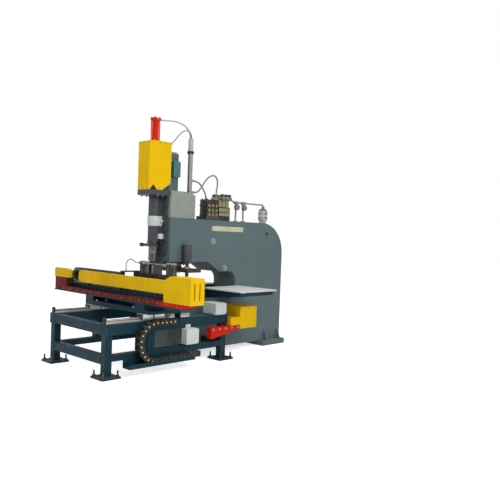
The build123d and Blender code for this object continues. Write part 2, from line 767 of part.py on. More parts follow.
def feed_cylinder():
    body_top = FEED_TOP - FEED_CAP_HEIGHT
    cap = about(0, FEED_CAP)
    side = about(FEED_Y, FEED_CAP)
    base = about(0, FEED_FLANGE)
    solid = block(base, about(FEED_Y, FEED_FLANGE), (COVER_TOP, COVER_TOP + FEED_FLANGE_HEIGHT))
    solid += upright(0, FEED_Y, (COVER_TOP, body_top), FEED_RADIUS)
    solid += block(cap, side, (body_top, FEED_TOP))
    for x in (-TIE_HALF, TIE_HALF):
        for y in (FEED_Y - TIE_HALF, FEED_Y + TIE_HALF):
            solid += upright(x, y, (COVER_TOP, FEED_TOP + TIE_NUT), TIE_RADIUS)
    bore = (COVER_TOP - OVERRUN, FEED_ROD_TOP + SLIDE_GAP)
    return solid - upright(0, FEED_Y, bore, FEED_ROD_RADIUS + RUN_FIT)


def drill_motor():
    cowl = MOTOR_RADIUS + MOTOR_COWL_STEP
    outline = [
        (0, BRACKET_TOP),
        (MOTOR_FLANGE_RADIUS, BRACKET_TOP),
        (MOTOR_FLANGE_RADIUS, BRACKET_TOP + MOTOR_FLANGE),
        (MOTOR_RADIUS, BRACKET_TOP + MOTOR_FLANGE),
        (MOTOR_RADIUS, MOTOR_COWL),
        (cowl, MOTOR_COWL),
        (cowl, MOTOR_TOP - MOTOR_CROWN),
        (cowl - MOTOR_CROWN, MOTOR_TOP),
        (0, MOTOR_TOP),
    ]
    solid = turned(outline, 0, MOTOR_Y)
    box_x = (0, MOTOR_RADIUS + TERMINAL_BOX[0])
    return solid + block(box_x, about(MOTOR_Y, TERMINAL_BOX[1]), about(TERMINAL_Z, TERMINAL_BOX[2]))


def mast_hose_start(offset):
    """Point at the mast's top where a hose comes out of it."""
    return (MAST_X + offset, MAST_Y, MAST_TOP)


def hose_mast():
    collar_z = [MAST_TOP - drop for drop in MAST_COLLAR_DROP]
    solid = upright(MAST_X, MAST_Y, (BRACKET_REAR_TOP, MAST_TOP), MAST_RADIUS)
    solid += upright(MAST_X, MAST_Y, collar_z, MAST_COLLAR_RADIUS)
    for x, z in ((SUPPLY_PORT_X, SUPPLY_PORT_Z), (RETURN_PORT_X, RETURN_PORT_Z)):
        solid += rod((x, MAST_Y, z), (x, MAST_Y + MAST_PORT_REACH, z), MAST_PORT_RADIUS)
    for offset, radius in zip(MAST_BORE_OFFSETS, (FEED_HOSE_RADIUS, LEAD_RADIUS)):
        x, y, z = mast_hose_start(offset)
        solid -= upright(x, y, (z - MAST_BORE_DEPTH, z + OVERRUN), radius + SEAT_GAP)
    return solid


def bend_points(start, bends):
    """Points of a hose's route, given as steps from its start."""
    return [tuple(Vector(start) + Vector(bend)) for bend in bends]


def bend_radii(route):
    """Largest arcs that the runs on both sides of each point leave room for."""
    radii = []
    for before, here, after in zip(route, route[1:], route[2:]):
        first = Vector(here) - Vector(before)
        second = Vector(after) - Vector(here)
        half_turn = math.radians(first.get_angle(second)) / 2
        radii.append(BEND_SHARE * min(first.length, second.length) / math.tan(half_turn))
    return radii


def hose(name, route, radius):
    """Round hose along straight runs joined by tangent arcs."""
    radii = bend_radii(route)
    path = FilletPolyline(*route, radius=radii)
    section = Plane(origin=route[0], z_dir=Vector(route[1]) - Vector(route[0])) * Circle(radius)
    solid = sweep(section, path=path)
    share = solid.volume / (math.pi * radius**2 * path.length)
    print(name, "length", round(path.length), "volume share", round(share, 4))
    print("bend radii", [round(bend) for bend in radii])
    return solid


def feed_hose():
    start = mast_hose_start(MAST_BORE_OFFSETS[0])
    end = (FEED_PORT_X, FEED_Y + FEED_CAP / 2, FEED_PORT_Z)
    route = [(start[0], start[1], start[2] - MAST_BORE_DEPTH), *bend_points(start, FEED_HOSE_BENDS)]
    return hose("feed_hose", [*route, (end[0], end[1] + FEED_HOSE_LAST_RUN, end[2]), end], FEED_HOSE_RADIUS)


def motor_lead():
    start = mast_hose_start(MAST_BORE_OFFSETS[1])
    route = [(start[0], start[1], start[2] - MAST_BORE_DEPTH), *bend_points(start, LEAD_BENDS)]
    last_bend = (LEAD_TIP[0], LEAD_TIP[1] + LEAD_LAST_RUN, LEAD_TIP[2] + LEAD_LAST_RUN)
    return hose("motor_lead", [*route, last_bend, LEAD_TIP], LEAD_RADIUS)


def oil_hose(name, start, bends):
    """Hose from a port on the mast down onto the tall manifold block."""
    route = [start, *bend_points(start, bends)]
    return hose(name, [*route, (start[0], route[-1][1], TALL_BLOCK_TOP)], OIL_HOSE_RADIUS)


def supply_hose():
    return oil_hose("supply_hose", (SUPPLY_PORT_X, MAST_Y + MAST_PORT_REACH, SUPPLY_PORT_Z), SUPPLY_BENDS)


def return_hose():
    return oil_hose("return_hose", (RETURN_PORT_X, MAST_Y + MAST_PORT_REACH, RETURN_PORT_Z), RETURN_BENDS)


def manifold():
    solid = block(VALVE_PLATE_X, VALVE_PLATE_Y, (FRAME_TOP, VALVE_PLATE_TOP))
    solid += block(TALL_BLOCK_X, TALL_BLOCK_Y, (VALVE_PLATE_TOP, TALL_BLOCK_TOP))
    return solid + block(TALL_BLOCK_X, LOW_BLOCK_Y, (VALVE_PLATE_TOP, LOW_BLOCK_TOP))


def valve_pitch():
    """Spacing of the valves along their block."""
    return (LOW_BLOCK_Y[1] - LOW_BLOCK_Y[0]) / VALVE_COUNT


def valve_bank():
    middle = sum(TALL_BLOCK_X) / 2
    pitch = valve_pitch()
    valves = []
    for number in range(VALVE_COUNT):
        y = LOW_BLOCK_Y[0] + pitch * number + pitch / 2
        z = (LOW_BLOCK_TOP, LOW_BLOCK_TOP + VALVE_BODY[2])
        coil_z = z[1] - COIL_RADIUS - SHEET
        reach = VALVE_BODY[0] / 2 + COIL_LENGTH
        valve = block(about(middle, VALVE_BODY[0]), about(y, VALVE_BODY[1]), z)
        valve += rod((middle - reach, y, coil_z), (middle + reach, y, coil_z), COIL_RADIUS)
        valves.append(valve.solid())
    return Compound(valves)


def pressure_pipe():
    start = LOW_BLOCK_Y[1] - valve_pitch() / 2 + VALVE_BODY[1] / 2
    route = [
        (PIPE_X, start, PIPE_START_Z),
        (PIPE_X, start + PIPE_LEVEL_RUN, PIPE_START_Z),
        (PIPE_X, PIPE_SLOPE_END, PIPE_Z),
        (PIPE_X, ACCUMULATOR_Y, PIPE_Z),
        (PIPE_X, ACCUMULATOR_Y, ACCUMULATOR_TOP + ACCUMULATOR_CAP),
    ]
    path = FilletPolyline(*route, radius=[PIPE_BEND, PIPE_BEND, PIPE_DROP_BEND])
    section = Plane(origin=route[0], z_dir=Vector(route[1]) - Vector(route[0])) * Circle(PIPE_RADIUS)
    solid = sweep(section, path=path)
    for y in POST_PLACES:
        solid += upright(PIPE_X, y, (FRAME_TOP, PIPE_Z), POST_RADIUS)
        solid += upright(PIPE_X, y, (FRAME_TOP, FRAME_TOP + POST_FOOT), POST_FOOT_RADIUS)
        solid += rod((PIPE_X, y, GAUGE_Z), (PIPE_X + GAUGE_DEPTH, y, GAUGE_Z), GAUGE_RADIUS)
    return solid


def accumulator():
    shoulder = ACCUMULATOR_TOP - ACCUMULATOR_DOME
    base = FRAME_TOP + ACCUMULATOR_CAP
    half = ThreePointArc(
        (ACCUMULATOR_RADIUS, shoulder),
        (ACCUMULATOR_RADIUS * math.cos(math.pi / 4), shoulder + ACCUMULATOR_DOME * math.sin(math.pi / 4)),
        (ACCUMULATOR_NECK, ACCUMULATOR_TOP),
    )
    lower = Polyline(
        (ACCUMULATOR_NECK, ACCUMULATOR_TOP),
        (ACCUMULATOR_NECK, ACCUMULATOR_TOP + ACCUMULATOR_CAP),
        (0, ACCUMULATOR_TOP + ACCUMULATOR_CAP),
        (0, FRAME_TOP),
        (ACCUMULATOR_FOOT_RADIUS, FRAME_TOP),
        (ACCUMULATOR_FOOT_RADIUS, base),
        (ACCUMULATOR_RADIUS, base + ACCUMULATOR_CAP),
        (ACCUMULATOR_RADIUS, shoulder),
    )
    outline = Plane.XZ * make_face([half, lower])
    return Pos(PIPE_X, ACCUMULATOR_Y, 0) * revolve(outline, Axis.Z)


def tube(x, y, z, along):
    """Box-section tube with its long corners rounded."""
    solid = block(x, y, z)
    return fillet(solid.edges().filter_by(along), TUBE_RADIUS)


def table_base():
    leg_y = (LEG_FRONT_Y, LEG_REAR_Y)
    side_y = (LEG_FRONT_Y - LEG / 2, LEG_REAR_Y + LEG / 2)
    bay = (LEG_REAR_Y - LEG_FRONT_Y) / (STRUT_COUNT + 1)
    half = tube(about(LEG_X, BEAM_WIDTH), side_y, BEAM_Z, Axis.Y)
    half += tube(about(LEG_X, LEG), leg_y, LOW_RAIL_Z, Axis.Y)
    half += tube((FRAME_HALF, LEG_X), about(LEG_REAR_Y, LEG), LOW_RAIL_Z, Axis.X)
    for y in leg_y:
        half += tube(about(LEG_X, LEG), about(y, LEG), (0, BEAM_Z[0] + OVERRUN), Axis.Z)
        pad = block(about(LEG_X, FOOT_PLATE), about(y, FOOT_PLATE), (0, FOOT_PLATE_THICKNESS))
        for x, place in bolt_places(y):
            pad -= upright(x, place, (-OVERRUN, FOOT_PLATE_THICKNESS + OVERRUN), BOLT_RADIUS + SEAT_GAP)
        half += pad
    for number in range(STRUT_COUNT):
        y = LEG_FRONT_Y + bay * (number + 1)
        half += block(about(LEG_X, LEG), about(y, LEG), (LOW_RAIL_Z[0] + OVERRUN, BEAM_Z[0] + OVERRUN))
    stop_y = (side_y[0], side_y[0] + STOP_SIZE[1])
    half += block(about(LEG_X, STOP_SIZE[0]), stop_y, (BEAM_Z[1] - OVERRUN, BEAM_Z[1] + STOP_SIZE[2]))
    cross_y = about(LEG_FRONT_Y, LEG)
    solid = half + mirror(half, about=Plane.YZ)
    solid += tube((-LEG_X, LEG_X), cross_y, CROSS_Z, Axis.X)
    return solid + tube((-LEG_X, LEG_X), cross_y, LOW_BAR_Z, Axis.X)


def bolt_places(leg_y):
    """Corners of a right-hand foot plate, where its bolts stand."""
    reach = FOOT_PLATE / 2 - BOLT_INSET
    return [(LEG_X + i * reach, leg_y + j * reach) for i in (-1, 1) for j in (-1, 1)]


def levelling_bolts():
    bolts = []
    nut_z = (FOOT_PLATE_THICKNESS, FOOT_PLATE_THICKNESS + BOLT_NUT)
    for leg_y in (LEG_FRONT_Y, LEG_REAR_Y):
        for x, y in bolt_places(leg_y):
            nut = extrude(RegularPolygon(BOLT_NUT_RADIUS, side_count=6), amount=BOLT_NUT)
            bolt = upright(x, y, (0, BOLT_TOP), BOLT_RADIUS) + Pos(x, y, nut_z[0]) * nut
            bolts.append(bolt.solid())
    return mirrored(Compound(bolts))


def y_rails():
    bottom = BEAM_Z[1]
    top = bottom + RAIL_HEIGHT
    half = RAIL_WIDTH / 2
    side = half - RAIL_WAIST
    section = [
        (-half, bottom),
        (half, bottom),
        (side, (bottom + top) / 2),
        (half, top - RAIL_WAIST),
        (half, top),
        (-half, top),
        (-half, top - RAIL_WAIST),
        (-side, (bottom + top) / 2),
    ]
    return mirrored(Pos(LEG_X, 0, 0) * front(section, RAIL_Y))


def y_guide_blocks():
    bottom = GUIDE_TOP - GUIDE_BLOCK[2]
    channel_top = BEAM_Z[1] + RAIL_HEIGHT + SLIDE_GAP
    blocks = []
    for y in GUIDE_Y:
        shoe = block(about(LEG_X, GUIDE_BLOCK[0]), about(y, GUIDE_BLOCK[1]), (bottom, GUIDE_TOP))
        shoe -= block(
            about(LEG_X, RAIL_WIDTH + 2 * SLIDE_GAP),
            about(y, GUIDE_BLOCK[1] + OVERRUN),
            (bottom - OVERRUN, channel_top),
        )
        blocks.append(shoe.solid())
    return mirrored(Compound(blocks))


def y_bearing_blocks():
    inner = LEG_X - BEAM_WIDTH / 2
    blocks = []
    for y in Y_BEARING_Y:
        seat = block((Y_SCREW_X - Y_BEARING_HALF, inner), y, about(Y_SCREW_Z, 2 * Y_BEARING_HALF))
        bore = [(Y_SCREW_X, end, Y_SCREW_Z) for end in (y[0] - OVERRUN, y[1] + OVERRUN)]
        seat -= rod(*bore, Y_SCREW_RADIUS + RUN_FIT)
        blocks.append(seat.solid())
    return Compound(blocks)


def y_ball_screw():
    return rod((Y_SCREW_X, Y_SCREW_Y[0], Y_SCREW_Z), (Y_SCREW_X, Y_SCREW_Y[1], Y_SCREW_Z), Y_SCREW_RADIUS)


def servo(side, flange_side):
    """Servo motor along +Z from its mounting face, with a flange and an encoder cap."""
    body = (SERVO_FLANGE, SERVO_FLANGE + SERVO_LENGTH)
    solid = block(about(0, flange_side), about(0, flange_side), (0, SERVO_FLANGE))
    solid += block(about(0, side), about(0, side), body)
    return solid + upright(0, 0, (body[1], body[1] + SERVO_CAP), side / 2 - SERVO_FLANGE)


def y_servo_motor():
    start = (Y_SCREW_X, Y_SCREW_Y[1] + SLIDE_GAP, Y_SCREW_Z)
    return Plane(origin=start, x_dir=(1, 0, 0), z_dir=(0, 1, 0)) * servo(SERVO_SIDE, SERVO_FLANGE_SIDE)


def y_drive_cover():
    inner_x = (Y_DRIVE_X[0] + SHEET, Y_DRIVE_X[1] - SHEET)
    inner_y = (Y_DRIVE_Y[0] + SHEET, Y_DRIVE_Y[1] - SHEET)
    solid = block(Y_DRIVE_X, Y_DRIVE_Y, Y_DRIVE_Z)
    solid += block(Y_TOE_X, (Y_TOE_START, Y_DRIVE_Y[0] + OVERRUN), Y_TOE_Z)
    solid -= block(inner_x, inner_y, (Y_DRIVE_Z[0] - OVERRUN, Y_DRIVE_Z[1] - SHEET))
    start = (Y_SCREW_X, Y_DRIVE_Y[0] - OVERRUN, Y_SCREW_Z)
    return solid - rod(start, (Y_SCREW_X, inner_y[0] + OVERRUN, Y_SCREW_Z), Y_SCREW_RADIUS + OVERRUN)


def y_drive_bracket():
    outline = [
        (Y_BRACKET_Y[0], Y_BRACKET_TOP),
        (Y_BRACKET_Y[0], Y_BRACKET_DEEP),
        (Y_BRACKET_Y[1], Y_BRACKET_SHALLOW),
        (Y_BRACKET_Y[1], Y_BRACKET_TOP),
    ]
    return profile(outline, (LEG_X + LEG / 2, Y_BRACKET_OUTER))


def link_frame(width, height, length):
    """Chain link along +X from the origin: two side plates and two cross bars."""
    plate = width * LINK_PLATE_SHARE
    bar = length * LINK_BAR_SHARE
    bar_height = height * LINK_BAR_HEIGHT_SHARE
    along = (SLIDE_GAP / 2, length - SLIDE_GAP / 2)
    solid = block(along, about(0, width), about(0, height))
    inner = about(0, width - 2 * plate)
    solid -= block((-OVERRUN, length + OVERRUN), inner, about(0, height - 2 * bar_height))
    window = (along[0] - OVERRUN, length / 2 - bar / 2)
    solid -= block(window, inner, about(0, height + OVERRUN))
    return solid - block((length / 2 + bar / 2, length + OVERRUN), inner, about(0, height + OVERRUN))


def chain(low_run, high_run, radius, size, pitch, place):
    """Links along a U-shaped line: the low run, the bend and the high run.

    The line lies in local X and Z with the bend's centre at the origin and both runs towards +X.
    """
    runs = ((low_run, -radius), (high_run, radius))
    links = []
    for length, height in runs:
        count = round(length / pitch)
        step = length / count
        link = link_frame(*size, step)
        links += [Pos(step * number, 0, height) * link for number in range(count)]
    count = round(math.pi * radius / pitch)
    turn = 180 / count
    chord = 2 * (radius - size[1] / 2) * math.tan(math.radians(turn / 2))
    link = Pos(-chord / 2, 0, 0) * link_frame(*size, chord)
    for number in range(count):
        angle = turn * (number + 1 / 2)
        links.append(Rot(0, angle, 0) * Pos(0, 0, -radius) * link)
    return Compound([place * item.solid() for item in links])


def y_drag_chain():
    middle = sum(Y_CHAIN_X) / 2
    origin = (middle, Y_CHAIN_BEND_Y, Y_CHAIN_LOW_Z + Y_CHAIN_RADIUS)
    place = Plane(origin=origin, x_dir=(0, 1, 0), z_dir=UP).location
    low = Y_CHAIN_FIXED_Y - Y_CHAIN_BEND_Y
    high = Y_CHAIN_MOVING_Y - Y_CHAIN_BEND_Y
    size = (Y_CHAIN_X[1] - Y_CHAIN_X[0], Y_CHAIN_HEIGHT)
    return chain(low, high, Y_CHAIN_RADIUS, size, Y_CHAIN_PITCH, place)


def x_drag_chain():
    middle = sum(X_CHAIN_Y) / 2
    place = Pos(X_CHAIN_BEND_X, middle, X_CHAIN_LOW_Z + X_CHAIN_RADIUS)
    low = X_CHAIN_FIXED_X - X_CHAIN_BEND_X
    high = X_CHAIN_MOVING_X - X_CHAIN_BEND_X
    size = (X_CHAIN_Y[1] - X_CHAIN_Y[0], X_CHAIN_HEIGHT)
    return chain(low, high, X_CHAIN_RADIUS, size, X_CHAIN_PITCH, place)


def chain_tray():
    inner = LEG_X + LEG / 2
    floor = Y_CHAIN_LOW_Z - Y_CHAIN_HEIGHT / 2 - TRAY_GAP
    section = [
        (inner, floor - SHEET),
        (TRAY_OUTER, floor - SHEET),
        (TRAY_OUTER, TRAY_LIP),
        (TRAY_OUTER - SHEET, TRAY_LIP),
        (TRAY_OUTER - SHEET, floor),
        (inner + SHEET, floor),
        (inner + SHEET, TRAY_BACK),
        (inner, TRAY_BACK),
    ]
    return front(section, TRAY_Y)


def junction_box(x, y, z):
    """Sheet box with a lid on its outer side and rounded upright corners."""
    body_x = (x[0], x[1] - BOX_LID)
    solid = fillet(block(body_x, y, z).edges().filter_by(Axis.X), BOX_CORNER)
    lid_y = (y[0] - BOX_LID_MARGIN, y[1] + BOX_LID_MARGIN)
    lid_z = (z[0] + BOX_LID_MARGIN, z[1] - BOX_LID_MARGIN)
    return solid + fillet(block((body_x[1], x[1]), lid_y, lid_z).edges().filter_by(Axis.X), BOX_CORNER)


def junction_box_upper():
    return junction_box(UPPER_BOX_X, UPPER_BOX_Y, UPPER_BOX_Z)


def junction_box_lower():
    solid = junction_box(LOWER_BOX_X, LOWER_BOX_Y, LOWER_BOX_Z)
    middle = sum(LOWER_BOX_Y) / 2
    hanger_x = (LEG_X + BEAM_WIDTH / 2, LOWER_BOX_X[0] + BOX_LID)
    return solid + block(hanger_x, about(middle, 2 * BOX_LUG_HALF), BOX_LUG_Z)


def support_plates():
    x = (FRAME_HALF, FRAME_HALF + SUPPORT_REACH)
    outline = corners(x, SUPPORT_Y)
    radii = [0, SUPPORT_CORNER, SUPPORT_CORNER, 0]
    return mirrored(plan(outline, (PASS_LINE - SUPPORT_THICKNESS, PASS_LINE), radii))


def support_brackets():
    top = PASS_LINE - SUPPORT_THICKNESS
    tip_x = FRAME_HALF + SUPPORT_REACH - SUPPORT_EDGE
    arm_y = (SUPPORT_Y[0] + SUPPORT_ARM_INSET, SUPPORT_Y[1] - SUPPORT_ARM_INSET)
    outline = [
        (FRAME_HALF, top),
        (FRAME_HALF, top - SUPPORT_ARM_ROOT),
        (tip_x, top - SUPPORT_ARM_TIP),
        (tip_x, top),
    ]
    pad_y = (SUPPORT_Y[0] + SUPPORT_PAD_MARGIN, SUPPORT_Y[1] - SUPPORT_PAD_MARGIN)
    solid = block((FRAME_HALF, FRAME_HALF + SUPPORT_PAD_THICKNESS), pad_y, (top - SUPPORT_ARM_ROOT, top))
    for y in arm_y:
        solid += front(outline, about(y, SUPPORT_ARM))
    solid += block((tip_x - SUPPORT_ARM, tip_x), pad_y, (top - SUPPORT_ARM_TIP, top))
    return mirrored(solid)


def saddle():
    flange = block(SADDLE_FLANGE_X, (SADDLE_Y[0], BEAM_BACK), SADDLE_FLANGE_Z)
    solid = flange + block((-SADDLE_HALF, SADDLE_HALF), SADDLE_Y, (GUIDE_TOP, SADDLE_DECK))
    for x in ((-SADDLE_HALF, SADDLE_PEDESTAL - SADDLE_HALF), (SADDLE_HALF - SADDLE_PEDESTAL, SADDLE_HALF)):
        outline = [
            (SADDLE_Y[0], SADDLE_DECK - OVERRUN),
            (SADDLE_Y[1], SADDLE_DECK - OVERRUN),
            (BEAM_BACK, SADDLE_FLANGE_Z[0] + OVERRUN),
            (SADDLE_Y[0], SADDLE_FLANGE_Z[0] + OVERRUN),
        ]
        solid += profile(outline, x)
    web_z = (SADDLE_DECK - OVERRUN, SADDLE_FLANGE_Z[0] + OVERRUN)
    solid += block((-SADDLE_HALF, SADDLE_HALF), (BEAM_BACK - SADDLE_WEB, BEAM_BACK), web_z)
    nut_x = about(Y_SCREW_X, 2 * NUT_HALF)
    solid += block(nut_x, NUT_Y, (NUT_BOTTOM, GUIDE_TOP + OVERRUN))
    bore = [(Y_SCREW_X, y, Y_SCREW_Z) for y in (NUT_Y[0] - OVERRUN, NUT_Y[1] + OVERRUN)]
    solid -= rod(*bore, Y_SCREW_RADIUS + RUN_FIT)
    end = Y_CHAIN_MOVING_Y + SLIDE_GAP
    arm_y = (SADDLE_Y[0], end + CHAIN_ARM_PLATE)
    solid += block((SADDLE_HALF - OVERRUN, CHAIN_ARM_X[1]), arm_y, CHAIN_ARM_Z)
    return solid + block(CHAIN_ARM_X, (end, end + CHAIN_ARM_PLATE), (CHAIN_ARM_FOOT, CHAIN_ARM_Z[1]))


def beam_base():
    solid = block(BASE_X, (BEAM_FRONT, BEAM_BACK), BASE_Z)
    post_y = (BEAM_FRONT, BEAM_FRONT + COVER_DEPTH)
    return solid + block(BASE_POST_X, post_y, (BASE_Z[0], BASE_POST_TOP))


def x_beam():
    solid = block(BEAM_X, (BEAM_FACE, BEAM_BACK), (BASE_Z[1], BEAM_TOP))
    ledge_top = X_CHAIN_LOW_Z - X_CHAIN_HEIGHT / 2
    ledge_z = (ledge_top - BEAM_LEDGE, ledge_top)
    solid += block(BEAM_LEDGE_X, (X_CHAIN_Y[0], BEAM_FACE + OVERRUN), ledge_z)
    cover_back = BEAM_FRONT + COVER_DEPTH
    for share in COVER_FOOT_SHARES:
        foot_x = about(COVER_X[0] + (COVER_X[1] - COVER_X[0]) * share, COVER_FOOT[0])
        solid += block(foot_x, (cover_back - COVER_FOOT[1], BEAM_FACE + OVERRUN), ledge_z)
        solid += block(foot_x, (cover_back - COVER_FOOT[1], cover_back), (ledge_z[0], COVER_Z[0]))
    for x in X_BEARING_X:
        seat = about(X_SCREW_Z, 2 * X_BEARING_HALF)
        solid += block(x, (BEAM_BACK - OVERRUN, X_SCREW_Y + X_BEARING_HALF), seat)
        axis = [(end, X_SCREW_Y, X_SCREW_Z) for end in (x[0] - OVERRUN, x[1] + OVERRUN)]
        solid -= rod(*axis, X_SCREW_RADIUS + RUN_FIT)
    return solid


def x_rails():
    y = (BEAM_BACK, BEAM_BACK + X_RAIL_HEIGHT)
    rails = [block(X_RAIL_X, y, about(z, X_RAIL_WIDTH)).solid() for z in X_RAIL_Z]
    return Compound(rails)


def x_ball_screw():
    return rod((X_SCREW_X[0], X_SCREW_Y, X_SCREW_Z), (X_SCREW_X[1], X_SCREW_Y, X_SCREW_Z), X_SCREW_RADIUS)


def beam_cover():
    y = (BEAM_FRONT, BEAM_FRONT + COVER_DEPTH)
    radii = [COVER_END_RADIUS, 0, 0, COVER_END_RADIUS]
    solid = front(corners(COVER_X, COVER_Z), y, radii)
    inner_x = (COVER_X[0] + SHEET, COVER_X[1] - SHEET)
    inner_z = (COVER_Z[0] + SHEET, COVER_Z[1] - SHEET)
    inner_radii = [max(radius - SHEET, 0) for radius in radii]
    return solid - front(corners(inner_x, inner_z), (y[0] + SHEET, y[1] + OVERRUN), inner_radii)


def end_cap():
    y = (BEAM_FRONT, BEAM_FRONT + COVER_DEPTH)
    solid = front(corners(CAP_X, CAP_Z), y, [0, 0, CAP_RADIUS, CAP_RADIUS])
    inner_x = (CAP_X[0] + SHEET, CAP_X[1] - SHEET)
    inner = front(corners(inner_x, (CAP_Z[0] + SHEET, CAP_Z[1] - SHEET)), (y[0] + SHEET, y[1] + OVERRUN))
    return solid - inner


def motor_box():
    outline = [
        (BOX_X[0], BOX_Z[0]),
        (BOX_X[1], BOX_Z[0]),
        (BOX_X[1], BOX_Z[1]),
        (BOX_X[0] + 2 * BOX_SHOULDER, BOX_Z[1]),
        (BOX_X[0], BOX_Z[1] - BOX_SHOULDER),
    ]
    solid = front(outline, (BEAM_FRONT, BOX_BACK))
    inner = [
        (BOX_X[0] - OVERRUN, BOX_Z[0] + SHEET),
        (BOX_X[1] - SHEET, BOX_Z[0] + SHEET),
        (BOX_X[1] - SHEET, BOX_Z[1] - SHEET),
        (BOX_X[0] + 2 * BOX_SHOULDER, BOX_Z[1] - SHEET),
        (BOX_X[0] - OVERRUN, BOX_Z[1] - BOX_SHOULDER - SHEET),
    ]
    solid -= front(inner, (BEAM_FRONT + SHEET, BOX_BACK + OVERRUN))
    slot_z = (BOX_Z[0] + LOUVRE_MARGIN, BOX_Z[1] - LOUVRE_MARGIN)
    for share in LOUVRE_SHARES:
        y = BEAM_FRONT + (BOX_BACK - BEAM_FRONT) * share
        solid -= block((BOX_X[1] - SHEET - OVERRUN, BOX_X[1] + OVERRUN), about(y, LOUVRE_WIDTH), slot_z)
    return solid


def x_servo_motor():
    start = (BEAM_X[1], (BEAM_FRONT + BOX_BACK) / 2, X_SCREW_Z)
    return Plane(origin=start, x_dir=(0, 1, 0), z_dir=(1, 0, 0)) * servo(X_SERVO_SIDE, X_SERVO_SIDE)


def x_carriage():
    solid = block(CARRIAGE_X, CARRIAGE_Y, CARRIAGE_Z)
    shoe_y = (BEAM_BACK + SLIDE_GAP, CARRIAGE_Y[0] + OVERRUN)
    for x in CARRIAGE_BLOCK_X:
        for z in X_RAIL_Z:
            shoe = block(about(x, CARRIAGE_BLOCK[0]), shoe_y, about(z, CARRIAGE_BLOCK[1]))
            channel = about(z, X_RAIL_WIDTH + 2 * SLIDE_GAP)
            depth = (shoe_y[0] - OVERRUN, BEAM_BACK + X_RAIL_HEIGHT + SLIDE_GAP)
            solid += shoe - block(about(x, CARRIAGE_BLOCK[0] + OVERRUN), depth, channel)
    nut_y = (X_SCREW_Y - CARRIAGE_NUT_HALF / 2 - SHEET, CARRIAGE_Y[0] + OVERRUN)
    solid += block(CARRIAGE_NUT_X, nut_y, about(X_SCREW_Z, 2 * CARRIAGE_NUT_HALF))
    bore = [(x, X_SCREW_Y, X_SCREW_Z) for x in (CARRIAGE_NUT_X[0] - OVERRUN, CARRIAGE_NUT_X[1] + OVERRUN)]
    solid -= rod(*bore, X_SCREW_RADIUS + RUN_FIT)
    tab_x = (X_CHAIN_MOVING_X + SLIDE_GAP, CARRIAGE_ARM_X[0] + CHAIN_ARM_PLATE)
    solid += block(CARRIAGE_ARM_X, CARRIAGE_Y, (CARRIAGE_Z[1] - OVERRUN, CARRIAGE_ARM_Z[1]))
    solid += block(CARRIAGE_ARM_X, (X_CHAIN_Y[0], CARRIAGE_Y[1]), CARRIAGE_ARM_Z)
    return solid + block(tab_x, X_CHAIN_Y, (CARRIAGE_TAB_BOTTOM, CARRIAGE_ARM_Z[1]))


def clamp_bodies():
    bodies = []
    for middle in CLAMP_PLACES:
        x = about(middle, CLAMP_WIDTH)
        y = (CARRIAGE_Y[1], CLAMP_TIP)
        body = block(x, y, CLAMP_FLOOR)
        body += block(x, y, CLAMP_HOUSING_Z)
        body += block(x, (CARRIAGE_Y[1], CARRIAGE_Y[1] + SHEET), (CLAMP_FLOOR[0], CLAMP_HOUSING_Z[1]))
        bore = (CLAMP_HOUSING_Z[0] - OVERRUN, JAW_ROD_TOP + SLIDE_GAP)
        barrel = (CLAMP_HOUSING_Z[1], CLAMP_CYLINDER_TOP)
        for place in about(middle, CLAMP_PAIR):
            port = [(place, y, CLAMP_PORT_Z) for y in (CLAMP_AXIS_Y, CLAMP_AXIS_Y - CLAMP_PORT_REACH)]
            body += rod(*port, CLAMP_PORT_RADIUS)
            body += upright(place, CLAMP_AXIS_Y, barrel, CLAMP_CYLINDER_RADIUS)
            body -= upright(place, CLAMP_AXIS_Y, bore, JAW_ROD_RADIUS + RUN_FIT)
        bodies.append(body.solid())
    return Compound(bodies)


def clamp_jaw(middle):
    y = (CARRIAGE_Y[1] + SHEET + SLIDE_GAP, CLAMP_TIP)
    solid = block(about(middle, CLAMP_WIDTH), y, JAW_Z)
    pitch = (y[1] - y[0]) / JAW_TOOTH_COUNT
    for number in range(JAW_TOOTH_COUNT):
        start = y[0] + pitch * number
        tooth = [(start, JAW_Z[0] - OVERRUN), (start + pitch / 2, JAW_Z[0] + JAW_TOOTH)]
        tooth.append((start + pitch, JAW_Z[0] - OVERRUN))
        solid -= profile(tooth, about(middle, CLAMP_WIDTH + OVERRUN))
    for place in about(middle, CLAMP_PAIR):
        solid += upright(place, CLAMP_AXIS_Y, (JAW_Z[1] - OVERRUN, JAW_ROD_TOP), JAW_ROD_RADIUS)
    return solid


def clamp_hose():
    start = (*CLAMP_HOSE_FOOT, CARRIAGE_ARM_Z[1])
    end = (about(CLAMP_PLACES[0], CLAMP_PAIR)[0], CLAMP_AXIS_Y - CLAMP_PORT_REACH, CLAMP_PORT_Z)
    last_bend = (end[0], end[1] - CLAMP_HOSE_LAST_RUN, end[2])
    route = [start, *bend_points(start, CLAMP_HOSE_BENDS), last_bend, end]
    return hose("clamp_hose", route, CLAMP_HOSE_RADIUS)


